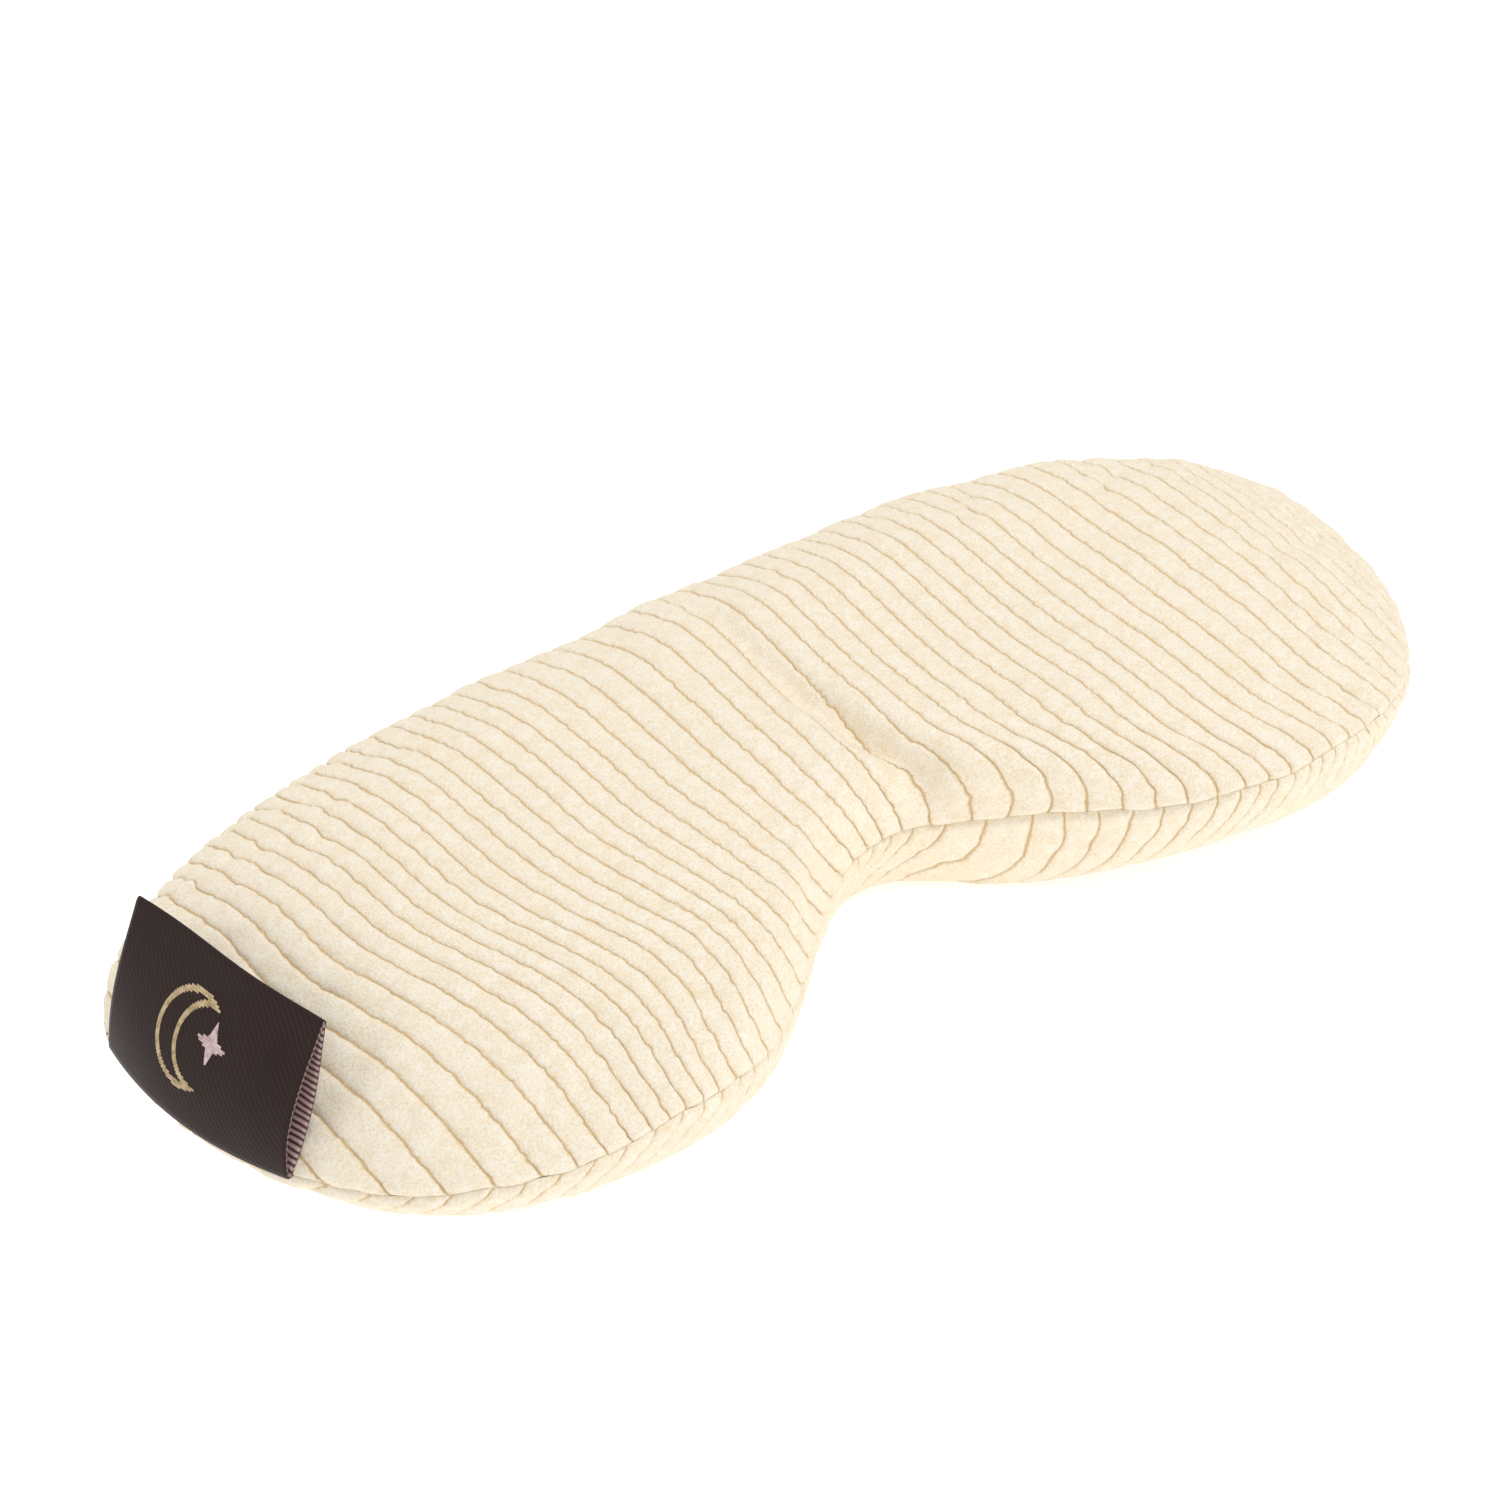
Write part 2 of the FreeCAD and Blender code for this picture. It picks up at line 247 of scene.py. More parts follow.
@dataclass(frozen=True)
class SmoothNoise:
    """Seeded smooth hills and hollows over a plane, as wide as size and as high as height."""

    seed: int
    size: float
    height: float = 1.0
    cells: int = 512

    def at(self, x: np.ndarray, y: np.ndarray) -> np.ndarray:
        """Reads the noise.

        Args:
            x: places across.
            y: places along.

        Returns:
            Its height at each place.
        """
        lattice = np.random.default_rng(self.seed).uniform(-1, 1, (self.cells, self.cells))
        gx, gy = x / self.size, y / self.size
        ix, iy = np.floor(gx).astype(int), np.floor(gy).astype(int)
        fx, fy = smooth_step(gx - ix, 0, 1), smooth_step(gy - iy, 0, 1)

        def corner(dx: int, dy: int) -> np.ndarray:
            """Lattice value at a cell's corner."""
            return lattice[(ix + dx) % self.cells, (iy + dy) % self.cells]

        low = corner(0, 0) * (1 - fx) + corner(1, 0) * fx
        high = corner(0, 1) * (1 - fx) + corner(1, 1) * fx
        return (low * (1 - fy) + high * fy) * self.height


@dataclass(frozen=True)
class Hump:
    """A bell-shaped rise: its height, where its middle is and how far it reaches."""

    height: float
    middle: float
    reach: float

    def at(self, place: np.ndarray) -> np.ndarray:
        """Height of the hump at each place."""
        return self.height * np.exp(-((place - self.middle) / self.reach) ** 2)


# ---------------------------------------------------------------------------------------------
# Finishes


class Finish:
    """A material that is made once and put on pieces."""

    name: str

    def build(self, tree: bpy.types.NodeTree, shader: bpy.types.Node) -> None:
        """Dresses the shader node."""
        raise NotImplementedError

    def material(self) -> bpy.types.Material:
        """Makes the material, or finds the one made before.

        Returns:
            The material.
        """
        found = bpy.data.materials.get(self.name)
        if found:
            return found
        made = bpy.data.materials.new(self.name)
        made.use_nodes = True
        self.build(made.node_tree, made.node_tree.nodes["Principled BSDF"])
        return made

    def dress(self, piece: bpy.types.Object) -> None:
        """Puts the material on every face of a piece."""
        piece.data.materials.clear()
        piece.data.materials.append(self.material())


@dataclass(frozen=True)
class CottonCorduroy(Finish):
    """Cut-pile cotton corduroy: matt ribs of brushed pile with the bare ground weave between them, whose tan
    is partly painted shade in the grooves.

    The pile scatters light at its tips, so the ribs glow softly at grazing angles, and the
    worn-looking mottling is pile leaning different ways.
    """

    name: str = "cotton_corduroy_cream"
    pile_colour: str = "#FCF3E3"
    leaning_pile: str = "#F1E0C0"
    # The bare ground weave, darkened with painted shade for the grooves and the seam
    ground_and_groove_shade: str = "#DABB88"
    glow_tint: str = "#FFF3DC"
    tuft: float = 0.42
    brushed_patch: float = 2.6
    raggedness: float = 0.6
    groove_edge: Band = (0.34, 0.82)
    tuft_share: float = 2.2
    lean_spread: Band = (1.25, 1.85)
    pile_height: float = 0.3

    def build(self, tree: bpy.types.NodeTree, shader: bpy.types.Node) -> None:
        """Mixes pile and ground weave by the rib height stored on the mesh; the ground's tan is partly
        painted shade, in the grooves and along the seam.

        Args:
            tree: the material's node tree.
            shader: the shader node to feed.
        """
        place = add_node(tree, "ShaderNodeTexCoord").outputs["Object"]
        rib = add_node(tree, "ShaderNodeAttribute", attribute_name="rib").outputs["Fac"]
        tufts = add_node(tree, "ShaderNodeTexNoise", {
            "Vector": place, "Scale": 1 / (self.tuft * MM), "Detail": 3.0, "Roughness": 0.7})
        patches = add_node(tree, "ShaderNodeTexNoise", {
            "Vector": place, "Scale": 1 / (self.brushed_patch * MM), "Detail": 4.0, "Roughness": 0.65})
        # Tufts lean over the edge of the ground weave, which makes the grooves look nibbled
        ragged = add_node(tree, "ShaderNodeMath", {
            0: tufts.outputs["Fac"], 1: self.raggedness, 2: rib}, operation="MULTIPLY_ADD")
        cover = add_node(tree, "ShaderNodeMapRange", {
            "Value": ragged.outputs[0], "From Min": self.groove_edge[0], "From Max": self.groove_edge[1]})
        both = add_node(tree, "ShaderNodeMath", {
            0: tufts.outputs["Fac"], 1: self.tuft_share, 2: patches.outputs["Fac"]},
            operation="MULTIPLY_ADD")
        lean = add_node(tree, "ShaderNodeMapRange", {
            "Value": both.outputs[0], "From Min": self.lean_spread[0], "From Max": self.lean_spread[1]})
        pile = add_node(tree, "ShaderNodeMix", {
            0: lean.outputs[0], 6: linear(self.leaning_pile), 7: linear(self.pile_colour)},
            data_type="RGBA")
        # The ground's tan, partly painted shade, fills the grooves and the seam edge where the rib height is
        # low
        colour = add_node(tree, "ShaderNodeMix", {
            0: cover.outputs[0], 6: linear(self.ground_and_groove_shade), 7: pile.outputs[2]}, data_type="RGBA")
        bump = add_node(tree, "ShaderNodeBump", {
            "Height": both.outputs[0], "Strength": 0.5, "Distance": self.pile_height * MM})
        feed(tree, shader, {
            "Base Color": colour.outputs[2], "Normal": bump.outputs[0], "Roughness": 0.95, "IOR": 1.5,
            "Specular IOR Level": 0.15, "Sheen Weight": 0.35, "Sheen Roughness": 0.45,
            "Sheen Tint": linear(self.glow_tint)})


@dataclass(frozen=True)
class SpunThread(Finish):
    """Spun polyester sewing thread: a fine twisted strand, a little glossier than the cloth."""

    name: str = "spun_polyester_thread"
    colour: str = "#E6D3AE"
    shade: str = "#C4A878"
    twist: float = 0.5
    ply_height: float = 0.08

    def build(self, tree: bpy.types.NodeTree, shader: bpy.types.Node) -> None:
        """Draws the ply twist as slanting bands, darker between the plies as painted shade.

        Args:
            tree: the material's node tree.
            shader: the shader node to feed.
        """
        place = add_node(tree, "ShaderNodeTexCoord").outputs["Object"]
        plies = add_node(tree, "ShaderNodeTexWave", {
            "Vector": place, "Scale": 0.5 / (self.twist * MM), "Distortion": 1.0},
            bands_direction="DIAGONAL")
        # The darker bands are painted shade in the grooves between the plies
        colour = add_node(tree, "ShaderNodeMix", {
            0: plies.outputs["Fac"], 6: linear(self.shade), 7: linear(self.colour)}, data_type="RGBA")
        bump = add_node(tree, "ShaderNodeBump", {
            "Height": plies.outputs["Fac"], "Strength": 0.4, "Distance": self.ply_height * MM})
        feed(tree, shader, {
            "Base Color": colour.outputs[2], "Normal": bump.outputs[0], "Roughness": 0.6,
            "Sheen Weight": 0.15})


@dataclass(frozen=True)
class Calico(Finish):
    """Unbleached plain-woven cotton with flecks of seed husk left in the yarn."""

    name: str = "unbleached_calico"
    colour: str = "#E3D9C4"
    fleck_colour: str = "#A88F66"
    # Real yarns are 0.4 mm apart; drawn at 0.8 mm so that the weave shows
    yarn_pitch: float = 0.8
    yarn_height: float = 0.15
    fleck: float = 1.5
    fleck_spread: Band = (0.68, 0.74)

    def build(self, tree: bpy.types.NodeTree, shader: bpy.types.Node) -> None:
        """Crosses two sets of bands for the weave and scatters flecks.

        Args:
            tree: the material's node tree.
            shader: the shader node to feed.
        """
        place = add_node(tree, "ShaderNodeTexCoord").outputs["Object"]
        # A band is one yarn over and the next one under
        bands = [add_node(tree, "ShaderNodeTexWave", {
            "Vector": place, "Scale": WAVE_PERIOD / (2 * self.yarn_pitch * MM), "Distortion": 0.6},
            bands_direction=axis) for axis in ("X", "Y")]
        weave = add_node(tree, "ShaderNodeMath", {
            0: bands[0].outputs["Fac"], 1: bands[1].outputs["Fac"]}, operation="MULTIPLY")
        specks = add_node(tree, "ShaderNodeTexNoise", {"Vector": place, "Scale": 1 / (self.fleck * MM)})
        sparse = add_node(tree, "ShaderNodeMapRange", {
            "Value": specks.outputs["Fac"], "From Min": self.fleck_spread[0],
            "From Max": self.fleck_spread[1]})
        colour = add_node(tree, "ShaderNodeMix", {
            0: sparse.outputs[0], 6: linear(self.colour), 7: linear(self.fleck_colour)},
            data_type="RGBA")
        bump = add_node(tree, "ShaderNodeBump", {
            "Height": weave.outputs[0], "Strength": 0.5, "Distance": self.yarn_height * MM})
        feed(tree, shader, {
            "Base Color": colour.outputs[2], "Normal": bump.outputs[0], "Roughness": 0.9,
            "Sheen Weight": 0.1})


@dataclass(frozen=True)
class Linseed(Finish):
    """Loose whole linseed: small glossy brown ovals packed at random."""

    name: str = "whole_linseed"
    colour: str = "#7A4A26"
    shade: str = "#3C2010"
    seed_size: float = 3.0
    seed_height: float = 0.6

    def build(self, tree: bpy.types.NodeTree, shader: bpy.types.Node) -> None:
        """Gives each seed a cell that darkens from its middle to its edge, a painted shade between the
        seeds, and a rounded top.

        Args:
            tree: the material's node tree.
            shader: the shader node to feed.
        """
        place = add_node(tree, "ShaderNodeTexCoord").outputs["Object"]
        cells = add_node(tree, "ShaderNodeTexVoronoi", {
            "Vector": place, "Scale": 1 / (self.seed_size * MM)})
        # Painted shade: each seed darkens towards its edge, where it meets the next
        colour = add_node(tree, "ShaderNodeMix", {
            0: cells.outputs["Distance"], 6: linear(self.colour), 7: linear(self.shade)},
            data_type="RGBA")
        bump = add_node(tree, "ShaderNodeBump", {
            "Height": cells.outputs["Distance"], "Strength": 0.8, "Distance": self.seed_height * MM},
            invert=True)
        feed(tree, shader, {
            "Base Color": colour.outputs[2], "Normal": bump.outputs[0], "Roughness": 0.35})


@dataclass(frozen=True)
class SatinRibbon(Finish):
    """Jacquard-woven polyester satin: a dark, faintly ribbed face with a low gleam.

    The pattern threads float across the reverse, so the inside of the loop shows rose bars.
    """

    name: str = "satin_ribbon_dark_brown"
    face_colour: str = "#251613"
    # The lighter twill threads: a painted sheen on the satin
    face_light: str = "#33221E"
    float_colour: str = "#C9A9A6"
    # Real pattern threads are about 0.2 mm apart; drawn at 0.6 mm so that the twill shows
    thread_pitch: float = 0.6
    float_pitch: float = 1.0
    sheen_patch: float = 6.0
    thread_height: float = 0.06

    def build(self, tree: bpy.types.NodeTree, shader: bpy.types.Node) -> None:
        """Weaves the face from slanting bands, lighter in patches as a painted sheen, and the reverse from
        level floats.

        Args:
            tree: the material's node tree.
            shader: the shader node to feed.
        """
        flat = add_node(tree, "ShaderNodeUVMap", uv_map="cloth").outputs["UV"]
        reverse = add_node(tree, "ShaderNodeAttribute", attribute_name="reverse").outputs["Fac"]
        twill = add_node(tree, "ShaderNodeTexWave", {
            "Vector": flat, "Scale": WAVE_PERIOD / (self.thread_pitch * MM), "Distortion": 0.4,
            "Detail": 1.0}, bands_direction="DIAGONAL")
        floats = add_node(tree, "ShaderNodeTexWave", {
            "Vector": flat, "Scale": WAVE_PERIOD / (self.float_pitch * MM), "Distortion": 1.5,
            "Detail": 1.0}, bands_direction="Y")
        sheen_patches = add_node(tree, "ShaderNodeTexNoise", {"Vector": flat, "Scale": 1 / (self.sheen_patch * MM)})
        # Painted sheen: the twill's threads turn lighter in patches, as if catching the light
        thread_light = add_node(tree, "ShaderNodeMath", {
            0: twill.outputs["Fac"], 1: sheen_patches.outputs["Fac"]}, operation="MULTIPLY")
        face = add_node(tree, "ShaderNodeMix", {
            0: thread_light.outputs[0], 6: linear(self.face_colour), 7: linear(self.face_light)},
            data_type="RGBA")
        back = add_node(tree, "ShaderNodeMix", {
            0: floats.outputs["Fac"], 6: linear(self.face_light), 7: linear(self.float_colour)},
            data_type="RGBA")
        colour = add_node(tree, "ShaderNodeMix", {
            0: reverse, 6: face.outputs[2], 7: back.outputs[2]}, data_type="RGBA")
        bump = add_node(tree, "ShaderNodeBump", {
            "Height": twill.outputs["Fac"], "Strength": 0.35, "Distance": self.thread_height * MM})
        feed(tree, shader, {
            "Base Color": colour.outputs[2], "Normal": bump.outputs[0], "Roughness": 0.6,
            "Specular IOR Level": 0.2, "Sheen Weight": 0.12, "Sheen Roughness": 0.3})


@dataclass(frozen=True)
class PatternWeft(Finish):
    """Shiny rayon pattern thread, floated side by side over the satin."""

    name: str
    colour: str
    shade: str
    fibre: float = 0.9
    fibre_height: float = 0.05
    tone_spread: Band = (0.3, 0.65)

    def build(self, tree: bpy.types.NodeTree, shader: bpy.types.Node) -> None:
        """Varies the thread's tone a little along its length.

        Args:
            tree: the material's node tree.
            shader: the shader node to feed.
        """
        place = add_node(tree, "ShaderNodeTexCoord").outputs["Object"]
        tone = add_node(tree, "ShaderNodeTexNoise", {
            "Vector": place, "Scale": 1 / (self.fibre * MM), "Detail": 2.0})
        spread = add_node(tree, "ShaderNodeMapRange", {
            "Value": tone.outputs["Fac"], "From Min": self.tone_spread[0],
            "From Max": self.tone_spread[1]})
        colour = add_node(tree, "ShaderNodeMix", {
            0: spread.outputs[0], 6: linear(self.shade), 7: linear(self.colour)}, data_type="RGBA")
        bump = add_node(tree, "ShaderNodeBump", {
            "Height": tone.outputs["Fac"], "Strength": 0.3, "Distance": self.fibre_height * MM})
        feed(tree, shader, {
            "Base Color": colour.outputs[2], "Normal": bump.outputs[0], "Roughness": 0.4,
            "Sheen Weight": 0.1})


@dataclass(frozen=True)
class StudioPaper(Finish):
    """Seamless white studio paper: matt, and lit until it is almost blank."""

    name: str = "seamless_white_paper"
    colour: str = "#FFFFFF"
    shade: str = "#FBFBFA"
    grain: float = 2.0
    glow: float = 0.38

    def build(self, tree: bpy.types.NodeTree, shader: bpy.types.Node) -> None:
        """Mixes in a faint grain, and a glow that stands for light from below.

        Args:
            tree: the material's node tree.
            shader: the shader node to feed.
        """
        place = add_node(tree, "ShaderNodeTexCoord").outputs["Object"]
        grain = add_node(tree, "ShaderNodeTexNoise", {"Vector": place, "Scale": 1 / (self.grain * MM)})
        colour = add_node(tree, "ShaderNodeMix", {
            0: grain.outputs["Fac"], 6: linear(self.shade), 7: linear(self.colour)}, data_type="RGBA")
        feed(tree, shader, {
            "Base Color": colour.outputs[2], "Roughness": 1.0, "Specular IOR Level": 0.0,
            "Emission Color": linear(self.colour), "Emission Strength": self.glow})


# ---------------------------------------------------------------------------------------------
# How the filled cloth has settled

# How far the seam has ridden up or down along the near side, from left to right
LIFT_X = (-120.0, -100.0, -80.0, -60.0, -40.0, -20.0, 0.0, 20.0, 40.0, 60.0, 80.0, 100.0, 120.0)
SEAM_LIFT = (0.0, 0.3, 1.8, 3.4, -2.2, -4.0, -3.0, -0.4, 3.2, 5.6, 5.2, 1.4, 0.0)
# Where the underside stands fuller (above 0) or slacker along the near side
FULL_X = (-118.0, -105.0, -85.0, -60.0, -35.0, -12.0, 0.0, 20.0, 30.0, 45.0, 60.0, 80.0, 100.0, 118.0)
FULLNESS = (-1.8, -0.2, -0.3, 0.2, -0.5, 0.6, 0.5, 1.0, 0.5, -0.4, -0.4, 0.7, 1.0, 0.5)
# How far the ribs have slipped sideways over the filling: columns run left to right, and rows
# from the near edge to the far edge
DRIFT_X = (-120.0, -90.0, -60.0, -30.0, 0.0, 30.0, 60.0, 90.0, 120.0)
DRIFT_Y = (-45.0, -30.0, -15.0, 0.0, 15.0, 30.0, 45.0)
NO_DRIFT = ((0.0,) * len(DRIFT_X),) * len(DRIFT_Y)
TOP_DRIFT = (
    (7.0, 14.0, 8.5, 3.5, 1.0, 1.5, 2.5, 6.0, 5.0),
    (6.0, 13.0, 7.5, 2.0, 0.0, 1.0, 2.1, 6.0, 5.0),
    (4.0, 8.5, 2.2, -0.8, 0.0, 1.1, 2.2, 7.0, 5.0),
    (1.0, 4.5, -1.5, -3.0, 0.0, 1.5, 2.5, 8.0, 5.0),
    (1.0, 2.0, -2.9, -4.2, 0.0, 1.9, 3.3, 9.2, 5.0),
    (1.0, -0.5, -4.3, -5.4, 0.0, 2.2, 3.9, 10.0, 5.0),
    (1.0, -2.5, -5.9, -6.6, 0.0, 2.5, 4.4, 10.2, 5.0),
)
# Where the drawn-in rim has pulled the ribs along the near seam
PULL_X = (-132.0, -95.0, -60.0, -20.0, 10.0, 40.0, 85.0, 118.0, 132.0)
TOP_PULL = (0.0, 0.0, -1.0, 2.0, 12.0, 8.0, 2.5, 0.5, 0.0)
BASE_PULL = (0.0, 2.0, 6.0, 10.0, 26.0, 21.0, 6.5, 1.0, 0.0)
# The line of the crease beside the bridge, and how deep it is along that line
CREASE_Y = (-20.0, -8.0, 5.6, 37.8)
CREASE_X = (10.7, 5.6, 3.8, 4.1)
DEPTH_Y = (-22.0, -12.0, 10.0, 36.0, 46.0)
CREASE_DEPTH = (1.0, 1.1, 0.7, 0.35, 0.0)


# ---------------------------------------------------------------------------------------------
# Shape of the pillow


@dataclass(frozen=True)
class Outline:
    """The sewn outline: two lobes with a nose notch between them, the same left and right."""

    half_length: float = 120.0
    near_y: float = -50.5
    far_y: float = 57.5
    notch_y: float = -15.0
    lobe_x: float = 65.0
    shoulder_x: float = 33.0
    end_y: float = 13.5
    notch_handle: float = 20.0
    lobe_handle: float = 0.5
    end_handle: float = 0.57
    back_handle: float = 0.4
    ridge_half: float = 45.0
    ridge_y: float = -4.5
    inset: float = 0.4
    samples: int = 160

    @property
    def ridge_share(self) -> float:
        """How far the ridge line under the dome reaches, as a share of the length."""
        return self.ridge_half / self.half_length

    def half_chains(self) -> tuple[np.ndarray, np.ndarray]:
        """Works out the right half of the outline.

        Returns:
            Points from the notch to the tip, and from the tip to the far middle.
        """
        end = (self.half_length - self.inset, self.end_y)
        lobe = (self.lobe_x, self.near_y + self.inset)
        notch_y = self.notch_y + self.inset
        back_y = self.far_y - self.inset
        front_reach = (end[0] - lobe[0]) * self.end_handle
        back_reach = (end[0] - self.shoulder_x) * self.end_handle
        t = np.linspace(0, 1, self.samples)
        near = np.concatenate([
            bezier([(0, notch_y), (self.notch_handle, notch_y),
                    (lobe[0] - self.lobe_x * self.lobe_handle, lobe[1]), lobe], t)[:-1],
            bezier([lobe, (lobe[0] + front_reach, lobe[1]),
                    (end[0], end[1] - (end[1] - lobe[1]) * self.end_handle), end], t)])
        far = np.concatenate([
            bezier([end, (end[0], end[1] + (back_y - end[1]) * self.end_handle),
                    (self.shoulder_x + back_reach, back_y), (self.shoulder_x, back_y)], t)[:-1],
            bezier([(self.shoulder_x, back_y), (self.shoulder_x * (1 - self.back_handle), back_y),
                    (self.shoulder_x * self.back_handle, back_y), (0, back_y)], t)])
        return near, far

    def chains(self) -> tuple[np.ndarray, np.ndarray]:
        """Works out the whole outline as two lines.

        Returns:
            The near and the far edge, each from the left tip to the right tip.
        """
        near, far = self.half_chains()
        mirror = np.array([-1.0, 1.0])
        return (np.concatenate([near[:0:-1] * mirror, near]),
                np.concatenate([far[:-1] * mirror, far[::-1]]))

    def ring(self) -> np.ndarray:
        """The whole outline anticlockwise, without a repeated point."""
        near, far = self.chains()
        return np.concatenate([near[:-1], far[:0:-1]])


@dataclass(frozen=True)
class PanelShape:
    """One cloth panel from its seam to the middle, as a map from the flat cloth to its place.

    Lengths along lines from the ridge to the seam keep their length, so the cloth is fuller
    round the rim than the outline is, as in a sewn pillow, and the ribs curve with it.
    """

    outline: Outline
    profile: tuple[tuple[float, float], ...]
    end_height: float
    seam_height: float = 18.5
    origin: tuple[float, float] = (0.0, 0.0)
    fuller_front: float = 0.0
    steps: int = 48
    pucker: SmoothNoise = SmoothNoise(61, 11.0, 0.55)
    fine_pucker: SmoothNoise = SmoothNoise(62, 3.6, 0.4)
    lifted_front: Band = (-5.0, 12.0)
    full_front: Band = (-12.0, 22.0)
    left_end: float = -90.0
    full_left_end: Band = (-25.0, -8.0)
    scales: Band = (0.02, 3.0)
    halvings: int = 30
    tip_gap: float = 0.01

    def seam_z(self, rim: np.ndarray) -> np.ndarray:
        """Works out the seam's height, which sinks at the notch and lifts along the lobes' fronts.

        Args:
            rim: points of the outline.

        Returns:
            A height for each point.
        """
        x, y = rim[..., 0], rim[..., 1]
        lift = blend_table(LIFT_X, (0.0, 1.0), (SEAM_LIFT, SEAM_LIFT), x, np.zeros_like(x))
        pucker = self.pucker.at(x, y) + self.fine_pucker.at(x, y)
        return self.seam_height + lift * smooth_step(-y, *self.lifted_front) + pucker

    def fullness(self, rim: np.ndarray) -> np.ndarray:
        """Works out how much less the wall draws in than the profile says.

        Args:
            rim: points of the outline.

        Returns:
            A share of the drawing in for each point, below 0 where the wall draws in more.
        """
        x, y = rim[..., 0], rim[..., 1]
        front = np.where(x < self.left_end, smooth_step(-y, *self.full_left_end),
                         smooth_step(-y, *self.full_front))
        return self.fuller_front * np.interp(x, FULL_X, FULLNESS) * front

    def ridge_point(self, rim: np.ndarray) -> np.ndarray:
        """Point of the ridge line that a rim point looks to."""
        return np.stack([rim[..., 0] * self.outline.ridge_share,
                         np.full(rim.shape[:-1], self.outline.ridge_y)], -1)

    def section(self, rim: np.ndarray) -> tuple[np.ndarray, np.ndarray, np.ndarray, np.ndarray]:
        """Cross-section from the ridge out to the seam at each rim point.

        Args:
            rim: points of the outline.

        Returns:
            Shares of the way to the rim, how far the cloth has left the seam's height, the
            length of cloth up to each, and the seam's height.
        """
        t = np.linspace(1, 0, self.steps)
        share, rise = np.concatenate([[[0.0, 1.0]], bezier(self.profile, t)]).T
        draw_in = np.where(np.arange(len(share)) > 0, 1 - share, 0.0)
        share = share + draw_in * self.fullness(rim)[..., None]
        seam = self.seam_z(rim)
        reach = np.linalg.norm(rim - self.ridge_point(rim), axis=-1)
        across = np.diff(share, axis=-1) * reach[..., None]
        down = np.diff(rise) * (self.end_height - seam)[..., None]
        lengths = np.concatenate([np.zeros(reach.shape + (1,)),
                                  np.cumsum(np.hypot(across, down), -1)], -1)
        return share, rise, lengths, seam

    def flat_edges(self) -> tuple[np.ndarray, np.ndarray]:
        """Lays the rim of the cloth out flat.

        Returns:
            The near and the far edge of the flat cloth, both from its left tip to its right tip.
        """
        rim = self.outline.ring()
        ridge = self.ridge_point(rim)
        reach = np.linalg.norm(rim - ridge, axis=-1)
        full = self.section(rim)[2][:, -1]
        flat = ridge + (rim - ridge) * (full / reach)[:, None]
        first = flat[:, 0].argmin()
        flat = np.roll(flat, -first, axis=0)
        last = flat[:, 0].argmax()
        near = flat[:last + 1]
        far = np.concatenate([flat[last:], flat[:1]])[::-1]
        for edge in (near, far):
            # Each place is a hair past the last, so that the edge can be looked up by its place
            edge[:, 0] = np.maximum.accumulate(edge[:, 0]) + np.arange(len(edge)) * 1e-7
        return near, far

    def place(self, u: np.ndarray, v: np.ndarray) -> tuple[np.ndarray, np.ndarray]:
        """Puts points of the flat cloth where they lie on the pillow.

        Args:
            u: places across the ribs.
            v: places along the ribs.

        Returns:
            Their places, and the length of cloth between each and the seam.
        """
        near, far = self.outline.half_chains()
        low, high = (np.full(u.shape, scale) for scale in self.scales)
        share_of_ridge, ridge_y = self.outline.ridge_share, self.outline.ridge_y

        def rim_for(scale: np.ndarray) -> np.ndarray:
            """Rim point that a scale of the flat cloth would need."""
            return np.stack([u / (share_of_ridge + (1 - share_of_ridge) * scale),
                             (v - ridge_y) / scale + ridge_y], -1)

        for _ in range(self.halvings):
            middle = (low + high) / 2
            x, y = np.moveaxis(rim_for(middle), -1, 0)
            x = np.abs(x)
            inside = ((x < near[-1, 0]) & (y > np.interp(x, near[:, 0], near[:, 1]))
                      & (y < np.interp(x, far[::-1, 0], far[::-1, 1])))
            high = np.where(inside, middle, high)
            low = np.where(inside, low, middle)
        rim = rim_for(high)
        ridge = self.ridge_point(rim)
        share, rise, lengths, seam = self.section(rim)
        length = np.minimum(high * np.linalg.norm(rim - ridge, axis=-1), lengths[..., -1])
        step = np.clip((lengths < length[..., None]).sum(-1), 1, self.steps)
        before = np.take_along_axis(lengths, step[..., None] - 1, -1)[..., 0]
        after = np.take_along_axis(lengths, step[..., None], -1)[..., 0]
        part = (length - before) / np.maximum(after - before, TINY)
        share_before = np.take_along_axis(share, step[..., None] - 1, -1)[..., 0]
        share_after = np.take_along_axis(share, step[..., None], -1)[..., 0]
        here_share = share_before + (share_after - share_before) * part
        here_rise = rise[step - 1] + (rise[step] - rise[step - 1]) * part
        plan = ridge + (rim - ridge) * here_share[..., None] + np.array(self.origin)
        height = seam + (self.end_height - seam) * here_rise
        return np.concatenate([plan, height[..., None]], -1), lengths[..., -1] - length

    def rows_of(self, u: np.ndarray, w: np.ndarray) -> tuple[np.ndarray, np.ndarray]:
        """Finds points along straight ribs of the flat cloth.

        Args:
            u: places across the ribs.
            w: shares of the way along each rib, from the near seam.

        Returns:
            Their flat places, across and along the ribs.
        """
        near, far = self.flat_edges()
        start = np.interp(u, near[:, 0], near[:, 1])
        finish = np.interp(u, far[:, 0], far[:, 1])
        return u, start + (finish - start) * w

    def span(self) -> tuple[float, float]:
        """Where the flat cloth starts and ends across the ribs, a hair inside its tips."""
        near, _ = self.flat_edges()
        return float(near[0, 0]) + self.tip_gap, float(near[-1, 0]) - self.tip_gap


